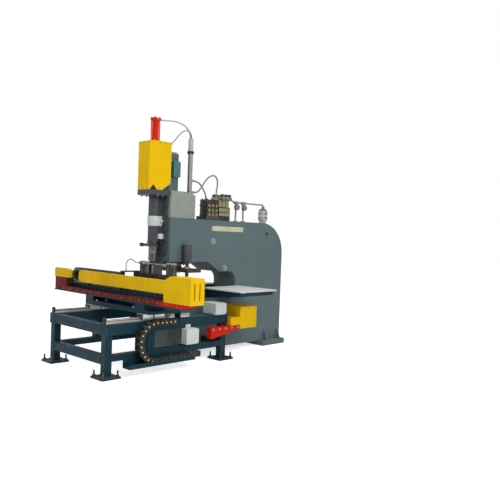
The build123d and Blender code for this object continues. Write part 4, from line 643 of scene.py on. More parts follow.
class MACHINE_OT_hoses(Dressing, bpy.types.Operator):
    """Lays the hoses along their routes, with a ferrule and a nut on each screwed end"""

    bl_idname = "machine.hoses"
    bl_label = "Hoses"

    # Body, radius, length and control points of each hose.
    ROUTES = {
        "feed_hose": ("frame", 0.008, 0.528, [
            (0.110, -0.122, 2.480), (0.110, -0.122, 2.550), (0.108, -0.150, 2.614), (0.100, -0.206, 2.660),
            (0.086, -0.282, 2.684), (0.068, -0.366, 2.692), (0.025, -0.444, 2.687), (0.025, -0.508, 2.687),
        ]),
        "motor_lead": ("frame", 0.006, 0.462, [
            (0.130, -0.122, 2.480), (0.130, -0.122, 2.546), (0.132, -0.155, 2.594), (0.136, -0.214, 2.602),
            (0.141, -0.272, 2.578), (0.147, -0.335, 2.522), (0.148, -0.391, 2.457), (0.148, -0.427, 2.421),
        ]),
        "supply_hose": ("frame", 0.009, 0.340, [(0.106, y, z) for y, z in (
            (-0.078, 2.040), (-0.020, 2.040), (0.034, 2.024), (0.078, 1.988), (0.116, 1.938), (0.150, 1.885),
            (0.150, 1.840),
        )]),
        "return_hose": ("frame", 0.009, 0.739, [(0.130, y, z) for y, z in (
            (-0.078, 1.905), (-0.024, 1.905), (0.022, 1.938), (0.064, 1.992), (0.104, 2.048), (0.146, 2.092),
            (0.192, 2.120), (0.240, 2.134), (0.284, 2.118), (0.308, 2.078), (0.312, 2.026), (0.300, 1.972),
            (0.292, 1.915), (0.292, 1.840),
        )]),
        "clamp_hose": ("carriage", 0.005, 0.276, [
            (0.100, -0.955, 1.004), (0.100, -0.955, 1.070), (0.101, -0.945, 1.108), (0.103, -0.915, 1.130),
            (0.105, -0.880, 1.126), (0.107, -0.852, 1.106), (0.108, -0.824, 1.090), (0.108, -0.788, 1.090),
        ]),
    }
    BARE_STARTS = ("feed_hose", "motor_lead")
    COATS = {"feed_hose": "pale_skin"}
    # Section of a ferrule, and the nut's height, radius and rim, in hose radii.
    FERRULE = ((1.02, 1.1), (1.35, 1.1), (1.35, 1.6), (1.25, 1.8), (1.35, 2.0), (1.35, 2.9), (1.02, 3.1))
    NUT = (1.1, 1.75, 0.1)

    def lay(self, name, body, radius, route):
        """Curve through the route's control points."""
        line = bpy.data.curves.new(name, "CURVE")
        line.dimensions = "3D"
        line.bevel_depth = radius
        line.bevel_resolution = 5
        line.use_fill_caps = True
        spline = line.splines.new("NURBS")
        spline.points.add(len(route) - 1)
        for point, place in zip(spline.points, route):
            point.co = (*place, 1)
        spline.order_u = 3
        spline.use_endpoint_u = True
        spline.resolution_u = 12
        line.materials.append(bpy.data.materials[self.COATS.get(name, "hose_rubber")])
        made = put(name + "_laid", line)
        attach(made, body)
        return made

    def fittings(self, name, body, radius, route):
        """Swaged ferrules and hexagon nuts where the hose is screwed in."""
        bm = bmesh.new()
        ends = [(route[-1], route[-2])]
        if name not in self.BARE_STARTS:
            ends.append((route[0], route[1]))
        height, width, rim = (share * radius for share in self.NUT)
        ferrule = [(out * radius, rise * radius) for out, rise in self.FERRULE]
        for seat, inward in ends:
            place = facing(seat, (Vector(inward) - Vector(seat)).normalized())
            join(bm, nut((0, 0, 0), (0, 0, height), width, rim), [place])
            join(bm, band(ferrule, place, 24))
        return piece(name + "_fittings", bm, body, ["zinc_plate"])

    def execute(self, context):
        for name, (body, radius, run, route) in self.ROUTES.items():
            hose = self.lay(name, body, radius, route)
            ends = self.fittings(name, body, radius, route)
            stand_in(name)
        return {"FINISHED"}


class MACHINE_OT_cable_chains(Dressing, bpy.types.Operator):
    """Links both cable chains, with rounded side plates, bars and pins"""

    bl_idname = "machine.cable_chains"
    bl_label = "Cable chains"

    # Width and height of a link, radius of the bend, pitch, and where the bend and the high run end.
    Y_LINK = (0.078, 0.064)
    Y_RADIUS = 0.195
    Y_PITCH = 0.058
    Y_BEND = -0.921
    Y_END = -0.644
    X_LINK = (0.052, 0.046)
    X_RADIUS = 0.067
    X_PITCH = 0.046
    X_BEND = -0.840
    X_END = 0.040
    FAR_ACROSS = 1000

    def link(self, size, pitch, wide):
        """Link along X from its first pin. A wide link's plates lie outside its neighbours'."""
        width, height = size
        plate = 0.07 * width
        outside = width / 2 if wide else width / 2 - plate
        lap = 0.2 * pitch
        part = bmesh.new()
        for side in (-1, 1):
            near, far = sorted((side * outside, side * (outside - plate)))
            low, high = (-lap, near, -height / 2), (pitch + lap, far, height / 2)
            join(part, block(low, high, 0.02 * height, 0.34 * height, 1))
            if wide:
                inner, outer = side * (width / 2 - plate / 2), side * (width / 2 + 0.02 * width)
                for x in (0, pitch):
                    stud = bar((x, inner, 0), (x, outer, 0), 0.14 * height, 0.02 * height, 14)
                    join(part, stud, finish_index=1)
        reach = outside - plate / 2
        for level in (-1, 1):
            near, far = sorted((level * height / 2, level * 0.38 * height))
            bar_low, bar_high = (0.24 * pitch, -reach, near), (0.76 * pitch, reach, far)
            join(part, block(bar_low, bar_high, 0.025 * height))
        return part

    def strand(self, name, node, pair, size, pitch, places, follow):
        """One stretch of chain as a piece."""
        bm = bmesh.new()
        for wide in (True, False):
            chosen = [place for number, place in places if (number % 2 == 0) == wide]
            join(bm, self.link(size, pitch, wide), chosen)
        made = piece(name, bm, None, ["chain_black", "brass"])
        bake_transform(made)
        stand_in(node)

    def chain(self, node, pair, place, size, radius, pitch, low, high):
        """Low run, bend and high run. The place's origin is the bend's centre, and the runs go to +X."""
        count = round(math.pi * radius / pitch)
        for name, run, level in (("low", low, -radius), ("high", high, radius)):
            links = round(run / pitch)
            step = run / links
            orders = [-1 - number if name == "low" else count + number for number in range(links)]
            places = [
                (order, place @ Matrix.Translation((step * number, 0, level)))
                for number, order in enumerate(orders)
            ]
            bend_end, run_end = place @ Vector((0, 0, level)), place @ Vector((run, 0, level))
            beyond = bend_end + bend_end - run_end
            follow = (run_end, beyond) if name == "low" else (beyond, run_end)
            self.strand(f"{node}_{name}_run", node, pair, size, step, places, follow)
        turn = math.pi / count
        swing = Matrix.Translation((-math.pi * radius / count / 2, 0, -radius))
        places = [
            (number, place @ Matrix.Rotation(turn * (number + 0.5), 4, "Y") @ swing)
            for number in range(count)
        ]
        across = place.to_3x3() @ Vector((0, self.FAR_ACROSS, 0))
        follow = (place.translation - across, place.translation + across)
        self.strand(f"{node}_bend", node, pair, size, math.pi * radius / count, places, follow)

    def execute(self, context):
        low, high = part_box("y_drag_chain")
        along_y = Matrix(((0, -1, 0), (1, 0, 0), (0, 0, 1))).to_4x4()
        centre = Vector(((low[0] + high[0]) / 2, self.Y_BEND, (low[2] + high[2]) / 2))
        self.chain(
            "y_drag_chain", ("frame", "saddle"), Matrix.Translation(centre) @ along_y, self.Y_LINK,
            self.Y_RADIUS, self.Y_PITCH, high[1] - self.Y_BEND, self.Y_END - self.Y_BEND,
        )
        low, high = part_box("x_drag_chain")
        centre = Vector((self.X_BEND, (low[1] + high[1]) / 2, (low[2] + high[2]) / 2))
        self.chain(
            "x_drag_chain", ("saddle", "carriage"), Matrix.Translation(centre), self.X_LINK,
            self.X_RADIUS, self.X_PITCH, high[0] - self.X_BEND, self.X_END - self.X_BEND,
        )
        return {"FINISHED"}


class MACHINE_OT_ball_screws(Dressing, bpy.types.Operator):
    """Cuts the thread of both ball screws"""

    bl_idname = "machine.ball_screws"
    bl_label = "Ball screws"

    # One turn of the thread, in shares of the radius and the pitch.
    THREAD = ((1, 0), (1, 0.52), (0.9, 0.6), (0.84, 0.76), (0.9, 0.92), (1, 1))
    SIDES = 18
    X_PITCH_SHARE = 0.7
    JOURNAL_EDGE = 0.002

    def screw(self, node, body, axis, pitch, journal):
        """Rounded thread between plain journals, along the node's long side."""
        low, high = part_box(node)
        middle = (Vector(low) + Vector(high)) / 2
        reach = (Vector(high) - Vector(low)).dot(axis)
        radius = (high[2] - low[2]) / 2
        place = facing(middle - axis * reach / 2, axis)
        part = bmesh.new()
        verts = [part.verts.new((radius * share, 0, pitch * rise)) for share, rise in self.THREAD]
        edges = [part.edges.new(pair) for pair in zip(verts, verts[1:])]
        turns = int((reach - 2 * journal) / pitch) - 1
        bmesh.ops.spin(
            part, geom=verts + edges, cent=(0, 0, 0), axis=(0, 0, 1), dvec=(0, 0, pitch / self.SIDES),
            angle=FULL_TURN * turns, steps=self.SIDES * turns,
        )
        bmesh.ops.remove_doubles(part, verts=part.verts, dist=1e-5)
        bmesh.ops.holes_fill(part, edges=part.edges, sides=0)
        turn_outward(part)
        bmesh.ops.translate(part, vec=(0, 0, journal), verts=part.verts)
        bm = bmesh.new()
        join(bm, part, [place])
        for near, far in ((0, journal + pitch), (reach - journal - pitch, reach)):
            join(bm, bar((0, 0, near), (0, 0, far), radius, self.JOURNAL_EDGE, 28), [place])
        made = piece(node + "_thread", bm, body, ["bright_steel"])
        stand_in(node)

    def execute(self, context):
        pitch = context.scene.machine_sizes.screw_pitch
        self.screw("y_ball_screw", "y_screw", BACK, pitch, 0.060)
        self.screw("x_ball_screw", "x_screw", RIGHT, pitch * self.X_PITCH_SHARE, 0.055)
        return {"FINISHED"}


class MACHINE_OT_drill(Dressing, bpy.types.Operator):
    """Twists the drill's flutes"""

    bl_idname = "machine.drill"
    bl_label = "Drill"

    STEPS = 60
    SIDES = 40
    LANDS = 2
    FLUTE_DEPTH = 0.48
    FLUTE_POWER = 1.5
    POINT = 0.6

    def execute(self, context):
        low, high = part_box("drill_bit")
        radius = (high[0] - low[0]) / 2
        shoulder = low[2] + self.POINT * radius
        bm = bmesh.new()
        bmesh.ops.create_circle(bm, segments=self.SIDES, radius=radius)
        for vert in bm.verts:
            around = math.atan2(vert.co.y, vert.co.x)
            vert.co *= 1 - self.FLUTE_DEPTH * max(0.0, math.cos(self.LANDS * around)) ** self.FLUTE_POWER
        bmesh.ops.spin(
            bm, geom=bm.verts[:] + bm.edges[:], cent=(0, 0, 0), axis=(0, 0, 1),
            dvec=(0, 0, (high[2] - shoulder) / self.STEPS), angle=context.scene.machine_sizes.flutes_turn,
            steps=self.STEPS,
        )
        bmesh.ops.holes_fill(bm, edges=bm.edges, sides=0)
        end = min(bm.faces, key=lambda face: face.calc_center_median().z)
        tip = bmesh.ops.poke(bm, faces=[end])["verts"]
        bmesh.ops.translate(bm, vec=(0, 0, -self.POINT * radius), verts=tip)
        turn_outward(bm)
        place = ((low[0] + high[0]) / 2, (low[1] + high[1]) / 2, shoulder)
        bmesh.ops.translate(bm, vec=place, verts=bm.verts)
        made = piece("drill_bit_flutes", bm, "spindle", ["bright_steel"])
        stand_in("drill_bit")
        return {"FINISHED"}


class MACHINE_OT_frame_bolts(Dressing, bpy.types.Operator):
    """Bolts the housing, the press, the die holder and the supports to the frame"""

    bl_idname = "machine.frame_bolts"
    bl_label = "Frame bolts"

    BACK_PLATE = 0.020
    SIDE_MARGIN = 0.022
    TOP_MARGIN = 0.03
    LOWEST_SCREW = 1.21
    FLANGE_RADIUS = 0.143
    DIE_RADIUS = 0.100
    ROD_INSET = 0.052
    ROD_NUTS_Z = (0.890, 1.025)
    SUPPORT_X = 0.215
    SUPPORT_Y = (0.20, 0.53)
    SUPPORT_DROP = 0.055

    def housing(self, thread):
        """Cap screws down both edges of the spindle housing's back plate."""
        low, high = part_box("spindle_housing")
        face, top = high[1] - self.BACK_PLATE, high[2] - self.TOP_MARGIN
        points = []
        for x in (low[0] + self.SIDE_MARGIN, high[0] - self.SIDE_MARGIN):
            points += spread((x, face, self.LOWEST_SCREW), (x, face, top), 7)
        places = seated(points, FORWARD)
        fasteners("housing_screws", "frame", socket_screw(thread), places, ("cast_parts", "motor_black"))

    def press(self, thread):
        """Rings of cap screws under the press cylinder's flange and on the die holder."""
        low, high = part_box("punch_cylinder")
        axis_y = (low[1] + high[1]) / 2
        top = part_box("die_holder")[1][2]
        places = ring((0, axis_y, low[2]), DOWN, self.FLANGE_RADIUS, 12)
        places += ring((0, axis_y, top), UP, self.DIE_RADIUS, 8)
        fasteners("press_screws", "frame", socket_screw(thread), places)

    def yoke(self):
        """Hexagon nuts on washers where the hold-down rods pass through the yoke and the stripper."""
        bm = bmesh.new()
        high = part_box("hold_down_cylinders")[1]
        axis_x, axis_y = high[0] - self.ROD_INSET, high[1] - self.ROD_INSET
        for x in (-axis_x, axis_x):
            for bottom in self.ROD_NUTS_Z:
                seat = (x, axis_y, bottom)
                join(bm, nut(seat, (x, axis_y, bottom + 0.024), 0.038, 0.004))
                join(bm, bar(seat, (x, axis_y, bottom + 0.004), 0.044, 0.001, 28))
        piece("yoke_nuts", bm, "stripper", ["zinc_plate"])

    def supports(self, thread):
        """Hexagon bolts through the pads of both side supports."""
        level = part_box("support_brackets")[1][2] - self.SUPPORT_DROP
        first, last = ((self.SUPPORT_X, y, level) for y in self.SUPPORT_Y)
        fasteners("support_bolts", "frame", hexagon_bolt(thread), on_both_sides(spread(first, last, 5)))

    def execute(self, context):
        sizes = context.scene.machine_sizes
        self.housing(sizes.head_bolt)
        self.press(sizes.head_bolt)
        self.yoke()
        self.supports(sizes.frame_bolt)
        return {"FINISHED"}


class MACHINE_OT_welds(Dressing, bpy.types.Operator):
    """Runs weld beads along the joints of the frame and the table"""

    bl_idname = "machine.welds"
    bl_label = "Welds"

    FRONT_FOOT_Y = (-0.415, 0.015)
    REAR_FOOT_Y = 1.095
    REAR_FOOT_MARGIN = 0.044
    FOOT_TOP = 0.065
    LEGS_Y = (-1.421, 0.110)
    LEG_HALF = 0.04
    LEG_PLATE = 0.020
    BARS_X = 0.445
    BARS_Y = -1.461
    BARS_Z = ((0.425, 0.511), (0.137, 0.213))
    POSTS_X = 0.525
    POSTS_Y = (-0.9507, -0.4003)
    POSTS_Z = (0.222, 0.415)

    def bead(self, start, end, radius):
        """Rippled bead from one point to another."""
        run = (Vector(end) - Vector(start)).length
        count = round(run / (2.4 * radius))
        step = run / count
        outline = [(0, 0)]
        for number in range(count):
            outline += [(0.75 * radius, step * (number + 0.15)), (radius, step * (number + 0.6))]
        outline.append((0, run))
        return turned(outline, facing(start, Vector(end) - Vector(start)), 8)

    def weld(self, name, runs, radius, label):
        bm = bmesh.new()
        for start, end in runs:
            join(bm, self.bead(start, end, radius))
        piece(name, bm, "frame", [label])

    def frame_runs(self):
        """Both feet and the drill bracket's lower edges."""
        low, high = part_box("drill_bracket")
        rear_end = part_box("c_frame")[1][1] - self.REAR_FOOT_MARGIN
        runs = [((low[0], high[1], low[2]), (high[0], high[1], low[2]))]
        for x in (-high[0], high[0]):
            runs.append(((x, low[1], low[2]), (x, high[1], low[2])))
            for start, end in (self.FRONT_FOOT_Y, (self.REAR_FOOT_Y, rear_end)):
                runs.append(((x, start, self.FOOT_TOP), (x, end, self.FOOT_TOP)))
        return runs

    def table_runs(self):
        """Legs on their plates, the front bars between the legs, and the posts of the right side."""
        runs = []
        half = self.LEG_HALF
        for x in (-RAIL_X, RAIL_X):
            for y in self.LEGS_Y:
                near, far = (x - half, y - half), (x + half, y + half)
                turns = [near, (far[0], near[1]), far, (near[0], far[1]), near]
                runs += [((*a, self.LEG_PLATE), (*b, self.LEG_PLATE)) for a, b in zip(turns, turns[1:])]
        uprights = [(x, self.BARS_Y, z) for x in (-self.BARS_X, self.BARS_X) for z in self.BARS_Z]
        uprights += [(self.POSTS_X, y + side, self.POSTS_Z) for y in self.POSTS_Y for side in (-half, half)]
        return runs + [((x, y, bottom), (x, y, top)) for x, y, (bottom, top) in uprights]

    def execute(self, context):
        radius = context.scene.machine_sizes.weld
        self.weld("frame_welds", self.frame_runs(), radius, "frame_paint")
        self.weld("table_welds", self.table_runs(), radius, "base_paint")
        return {"FINISHED"}


class MACHINE_OT_drill_motor(Dressing, bpy.types.Operator):
    """Adds the drill motor's fins, cowl grille and terminal box"""

    bl_idname = "machine.drill_motor"
    bl_label = "Drill motor"

    RADIUS = 0.098
    FIN_FOOT = RADIUS - 0.004
    FIN_TIP = RADIUS + 0.006
    FIN_HALF = 0.0018
    FIN_EDGE = 0.0006
    FIN_Z = (1.924, 2.264)
    # Fins closer than this to the right side would pass through the terminal box.
    FIN_COSINE = 0.86
    HOOPS = (0.018, 0.034, 0.050, 0.066, 0.080)
    HOOP_HALF = 0.0022
    HOOP_SUNK = 0.002
    HOOP_PROUD = 0.0012
    SPOKES = 6
    SPOKE_RADII = (0.016, 0.082)
    SPOKE_HALF = 0.003
    SPOKE_PROUD = 0.0015
    BOX_Y = (-0.379, -0.285)
    BOX_Z = (2.058, 2.232)
    BOX_ROOT = RADIUS - 0.012
    LID_NEAR = 0.001
    LID_FAR = 0.007
    LID_OVERLAP = 0.003

    def fins(self, axis, count):
        bm = bmesh.new()
        low = (self.FIN_FOOT, -self.FIN_HALF, self.FIN_Z[0])
        high = (self.FIN_TIP, self.FIN_HALF, self.FIN_Z[1])
        places = [place for place in turns_round(axis, count) if place[0][0] < self.FIN_COSINE]
        join(bm, block(low, high, self.FIN_EDGE), places)
        piece("motor_fins", bm, "frame", ["motor_paint"])

    def grille(self, axis, top):
        bm = bmesh.new()
        bottom, rim = top - self.HOOP_SUNK, top + self.HOOP_PROUD
        for radius in self.HOOPS:
            near, far = radius - self.HOOP_HALF, radius + self.HOOP_HALF
            hoop = [(near, bottom), (far, bottom), (far, rim), (near, rim)]
            join(bm, band(hoop, Matrix.Translation(axis), 48))
        near, far = self.SPOKE_RADII
        low, high = (near, -self.SPOKE_HALF, bottom), (far, self.SPOKE_HALF, top + self.SPOKE_PROUD)
        join(bm, block(low, high, self.FIN_EDGE), turns_round(axis, self.SPOKES))
        piece("motor_grille", bm, "frame", ["motor_black"])

    def terminal_box(self, outer, screw):
        (y_low, y_high), (z_low, z_high) = self.BOX_Y, self.BOX_Z
        near, far, lap = outer + self.LID_NEAR, outer + self.LID_FAR, self.LID_OVERLAP
        bm = bmesh.new()
        join(bm, block((self.BOX_ROOT, y_low, z_low), (near, y_high, z_high), 0.002))
        lid_low, lid_high = (near, y_low - lap, z_low - lap), (far, y_high + lap, z_high + lap)
        join(bm, block(lid_low, lid_high, 0.0015, 0.010, 0))
        piece("terminal_box", bm, "frame", ["teal_paint"])
        points = [(far, y, z) for y, z in inset_corners((y_low, z_low), (y_high, z_high), 0.008)]
        fasteners("terminal_screws", "frame", pan_screw(screw), seated(points, RIGHT))

    def execute(self, context):
        low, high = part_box("drill_motor")
        axis = Vector((0, (low[1] + high[1]) / 2, 0))
        self.fins(axis, context.scene.machine_sizes.fins)
        self.grille(axis, high[2])
        self.terminal_box(high[0], 0.6 * context.scene.machine_sizes.cover_screw)
        return {"FINISHED"}


class MACHINE_OT_drill_head(Dressing, bpy.types.Operator):
    """Dresses the head's cover, feed cylinder, housing, sensor box and chuck"""

    bl_idname = "machine.drill_head"
    bl_label = "Drill head"

    AXIS = (0, -0.525, 0)
    COVER_X = (-0.08, 0, 0.08)
    COVER_Y = (-0.605, -0.540, -0.475)
    COVER_MARGIN = 0.018
    GEAR_Y = (-0.60, -0.53)
    GEAR_SIDE = 0.026
    GEAR_FRONT = 0.024
    GEAR_FRONT_X = (-0.06, 0.06)
    FEED_Y = -0.548
    TIE_ROD = 0.033
    CAP_DROP = 0.010
    FOOT_RISE = 0.020
    CAP_NUT = 0.009
    FOOT_NUT = 0.012
    ROD_NUT = 0.0125
    PORT_X = 0.040
    PORT_DROP = 0.015
    PORT_PLUG = (
        (0, 0), (0.011, 0), (0.011, 0.004), (0.008, 0.005), (0.006, 0.005), (0.005, 0.002), (0, 0.002),
    )
    HOUSING_RING = ((0.056, 1.299), (0.074, 1.299), (0.074, 1.317), (0.0705, 1.322), (0.056, 1.322))
    BAND_X = 0.068
    BAND_Y = (-0.512, -0.474)
    BAND_Z = (1.512, 1.592)
    BAND_SCREW = 0.007
    LID = 0.005
    LID_OVERLAP = 0.002
    LID_MARGIN = 0.007
    GLAND = (
        (0, 0), (0.011, 0), (0.011, 0.009), (0.009, 0.011), (0.009, 0.020), (0.006, 0.024), (0, 0.024),
    )
    GLAND_INSET = 0.015
    KNURLS_Z = (1.090, 1.106, 1.122)
    KNURL = ((0.034, 0), (0.038, 0), (0.0385, 0.004), (0.038, 0.008), (0.034, 0.008))
    TOOTH = ((0.036, -0.0015, 1.089), (0.0395, 0.0015, 1.131))
    TEETH = 24

    def cover_screws(self, screw):
        """Screws round the cover's rims. The right side's lower rim has no room for the last one."""
        low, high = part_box("head_cover")
        places = []
        for z, count in ((low[2] + self.COVER_MARGIN, 2), (high[2] - self.COVER_MARGIN, 3)):
            side = [(high[0], y, z) for y in self.COVER_Y]
            places += seated([(x, low[1], z) for x in self.COVER_X], FORWARD)
            places += seated(side[:count], RIGHT)
            places += seated([(-x, y, z) for x, y, z in side[:2]], LEFT)
        fasteners("head_cover_screws", "frame", pan_screw(screw), places)

    def gear_bolts(self, thread):
        low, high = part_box("gear_housing")
        columns = (low[0] + self.GEAR_SIDE, high[0] - self.GEAR_SIDE)
        points = [(x, y, low[2]) for x in columns for y in self.GEAR_Y]
        points += [(x, low[1] + self.GEAR_FRONT, low[2]) for x in self.GEAR_FRONT_X]
        fasteners("gear_bolts", "frame", hexagon_bolt(thread), seated(points, DOWN))

    def feed_cylinder(self):
        """Tie-rod nuts on both ends and a port plug in the cap."""
        bm = bmesh.new()
        low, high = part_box("feed_cylinder")
        top, foot = high[2] - self.CAP_DROP, low[2] + self.FOOT_RISE
        for x in (-self.TIE_ROD, self.TIE_ROD):
            for y in (self.FEED_Y - self.TIE_ROD, self.FEED_Y + self.TIE_ROD):
                for z, height in ((top, self.CAP_NUT), (foot, self.FOOT_NUT)):
                    join(bm, nut((x, y, z), (x, y, z + height), self.ROD_NUT))
        port = facing((self.PORT_X, self.FEED_Y, top - self.PORT_DROP), RIGHT)
        join(bm, turned(self.PORT_PLUG, port, 24))
        piece("feed_cylinder_nuts", bm, "frame", ["zinc_plate"])

    def housing(self):
        """Clamp ring at the housing's foot and the band's screws."""
        bm = bmesh.new()
        join(bm, band(self.HOUSING_RING, Matrix.Translation(self.AXIS), 48))
        piece("housing_ring", bm, "frame", ["cast_parts"])
        places = on_both_sides([(self.BAND_X, y, z) for y in self.BAND_Y for z in self.BAND_Z])
        fasteners("band_screws", "frame", socket_screw(self.BAND_SCREW), places)

    def sensor(self, screw):
        """Lid, screws and cable gland of the sensor box."""
        low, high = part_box("sensor_box")
        face, lap = high[0] + self.LID, self.LID_OVERLAP
        bm = bmesh.new()
        lid_low, lid_high = (high[0], low[1] - lap, low[2] - lap), (face, high[1] + lap, high[2] + lap)
        join(bm, block(lid_low, lid_high, 0.001, 0.006, 0))
        place = facing((high[0] - self.GLAND_INSET, (low[1] + high[1]) / 2, low[2]), DOWN)
        join(bm, turned(self.GLAND, place, 20), finish_index=1)
        piece("sensor_lid", bm, "frame", ["white_paint", "motor_black"])
        points = [(face, y, z) for y, z in inset_corners(low[1:], high[1:], self.LID_MARGIN)]
        fasteners("sensor_screws", "frame", pan_screw(screw), seated(points, RIGHT))

    def chuck(self):
        """Knurled rings and teeth on the drill chuck."""
        bm = bmesh.new()
        for z in self.KNURLS_Z:
            hoop = [(radius, z + rise) for radius, rise in self.KNURL]
            join(bm, band(hoop, Matrix.Translation(self.AXIS), 40))
        join(bm, block(*self.TOOTH, 0.0005), turns_round(self.AXIS, self.TEETH))
        piece("chuck_knurl", bm, "spindle", ["tool_steel"])

    def execute(self, context):
        sizes = context.scene.machine_sizes
        self.cover_screws(sizes.cover_screw)
        self.gear_bolts(sizes.head_bolt)
        self.feed_cylinder()
        self.housing()
        self.sensor(0.5 * sizes.cover_screw)
        self.chuck()
        return {"FINISHED"}


class MACHINE_OT_hydraulics(Dressing, bpy.types.Operator):
    """Adds valve coils, port plugs, gauges, pipe nuts and bands to the hydraulics"""

    bl_idname = "machine.hydraulics"
    bl_label = "Hydraulics"

    TALL_LOW = (0.030, 0.130)
    TALL_HIGH = (0.150, 0.318)
    # Bottom, top and overhang of the tall block's plates.
    TALL_PLATES = (
        (1.640, 1.672, 0.004), (1.690, 1.735, 0.002), (1.750, 1.786, 0.005), (1.800, 1.832, 0.003),
    )
    TALL_NUTS_X = (0.046, 0.134)
    TALL_NUTS_Y = (0.146, 0.224, 0.302)
    TALL_NUTS_Z = (1.832, 1.850)
    BANK_LOW = (0.026, 0.332)
    BANK_HIGH = (0.153, 0.518)
    BANK_PLATES = ((1.655, 1.690), (1.702, 1.748))
    VALVES_X = 0.090
    VALVES_Y = (0.365, 0.425, 0.485)
    PORT_PLUG = (
        (0, 0), (0.017, 0), (0.017, 0.005), (0.014, 0.008), (0.009, 0.008), (0.008, 0.003), (0, 0.003),
    )
    TALL_PORTS_X = 0.155
    TALL_PORTS_Y = (0.165, 0.224, 0.283)
    TALL_PORTS_Z = (1.656, 1.712, 1.768)
    BANK_PORTS_X = 0.153
    BANK_PORTS_Z = 1.725
    COIL_Z = 1.865
    COIL_X = (0.052, 0.098)
    COIL_RADIUS = 0.0235
    COIL_TIP = 0.110
    COIL_NUT = 0.012
    SOCKET_X = (0.058, 0.090)
    SOCKET_HALF = 0.015
    SOCKET_Z = (0.018, 0.052)
    GAUGES_X = 0.130
    GAUGES_Z = 1.775
    NEEDLE_TURN = math.radians(60)
    GAUGE_RIM = ((0.029, 0), (0.0355, 0), (0.0355, 0.005), (0.033, 0.008), (0.029, 0.006))
    GAUGE_DIAL = ((0, 0), (0.0295, 0), (0.0295, 0.001), (0, 0.001))
    GAUGE_NEEDLE = ((-0.001, -0.005, 0.001), (0.001, 0.022, 0.002))
    PIPE_X = 0.100
    PIPE_Z = 1.834
    POSTS_Y = (0.668, 0.800)
    TEE_LOW = (0.082, 1.815)
    TEE_HIGH = (0.118, 1.852)
    TEE_HALF = 0.019
    TEE_NUT_END = 0.042
    POST_NUT_Z = (1.792, 1.815)
    START_NUT_Y = (0.510, 0.532)
    START_NUT_Z = 1.868
    TANK = (0.100, 1.178)
    TANK_NUT_Z = (1.798, 1.816)
    BANDS_Z = (1.655, 1.715)
    BAND_RADII = (0.0595, 0.063)
    BAND_HEIGHT = 0.020
    LUGS_X = (0.150, 0.176)
    LUGS_Y = ((1.160, 1.166), (1.174, 1.180))
    LUG_BOLT_X = 0.169
    LUG_BOLT_Y = (1.152, 1.188)

    def stack(self):
        """Sandwich plates of both blocks, seen as bands that stand out a little."""
        bm = bmesh.new()
        for bottom, top, grow in self.TALL_PLATES:
            low = (self.TALL_LOW[0] - grow, self.TALL_LOW[1] - grow, bottom)
            join(bm, block(low, (self.TALL_HIGH[0] + grow, self.TALL_HIGH[1] + grow, top), 0.002))
        bottom, top = self.TALL_NUTS_Z
        for x in self.TALL_NUTS_X:
            for y in self.TALL_NUTS_Y:
                join(bm, nut((x, y, bottom), (x, y, top), 0.009))
        for bottom, top in self.BANK_PLATES:
            join(bm, block((*self.BANK_LOW, bottom), (*self.BANK_HIGH, top), 0.002), finish_index=1)
        piece("valve_stack", bm, "frame", ["cast_parts", "olive_plate"])

    def plugs(self):
        """Port plugs on the blocks' right side."""
        points = [(self.TALL_PORTS_X, y, z) for y in self.TALL_PORTS_Y for z in self.TALL_PORTS_Z]
        points += [(self.BANK_PORTS_X, y, self.BANK_PORTS_Z) for y in self.VALVES_Y]
        plug = turned(self.PORT_PLUG, HERE, 24)
        fasteners("port_plugs", "frame", plug, seated(points, RIGHT), ["olive_plate"])

    def coils(self):
        """Sleeve, nut and plug of each valve's two coils."""
        bm = bmesh.new()
        z = self.COIL_Z
        for y in self.VALVES_Y:
            for side in (-1, 1):
                start, end = (self.VALVES_X + side * reach for reach in self.COIL_X)
                tip = self.VALVES_X + side * self.COIL_TIP
                join(bm, bar((start, y, z), (end, y, z), self.COIL_RADIUS, 0.002, 28))
                join(bm, nut((end, y, z), (tip, y, z), self.COIL_NUT), finish_index=1)
                near, far = sorted(self.VALVES_X + side * reach for reach in self.SOCKET_X)
                low = (near, y - self.SOCKET_HALF, z + self.SOCKET_Z[0])
                high = (far, y + self.SOCKET_HALF, z + self.SOCKET_Z[1])
                join(bm, block(low, high, 0.003), finish_index=2)
        piece("valve_coils", bm, "frame", ["olive_plate", "zinc_plate", "motor_black"])

    def gauges(self):
        """Bezel, pale dial and needle of both gauges."""
        bm = bmesh.new()
        for y in self.POSTS_Y:
            place = facing((self.GAUGES_X, y, self.GAUGES_Z), RIGHT)
            join(bm, band(self.GAUGE_RIM, place, 40))
            join(bm, turned(self.GAUGE_DIAL, place, 40), finish_index=1)
            tilted = place @ Matrix.Rotation(self.NEEDLE_TURN, 4, "Z")
            join(bm, block(*self.GAUGE_NEEDLE), [tilted], finish_index=2)
        piece("gauge_faces", bm, "frame", ["motor_black", "zinc_plate", "red_paint"])

    def pipe(self):
        """Compression nuts along the pressure pipe and tees on its posts."""
        bm = bmesh.new()
        x, z, half, reach = self.PIPE_X, self.PIPE_Z, self.TEE_HALF, self.TEE_NUT_END
        first, last = ((x, y, self.START_NUT_Z) for y in self.START_NUT_Y)
        join(bm, nut(first, last, 0.019, 0.002))
        (left, bottom), (right, top) = self.TEE_LOW, self.TEE_HIGH
        for y in self.POSTS_Y:
            join(bm, block((left, y - half, bottom), (right, y + half, top), 0.004))
            for near, far in ((y - reach, y - half), (y + half, y + reach)):
                join(bm, nut((x, near, z), (x, far, z), 0.0175, 0.002))
            foot, head = ((x, y, level) for level in self.POST_NUT_Z)
            join(bm, nut(foot, head, 0.019, 0.002))
        foot, head = ((*self.TANK, level) for level in self.TANK_NUT_Z)
        join(bm, nut(foot, head, 0.022, 0.002))
        piece("pipe_nuts", bm, "frame", ["zinc_plate"])

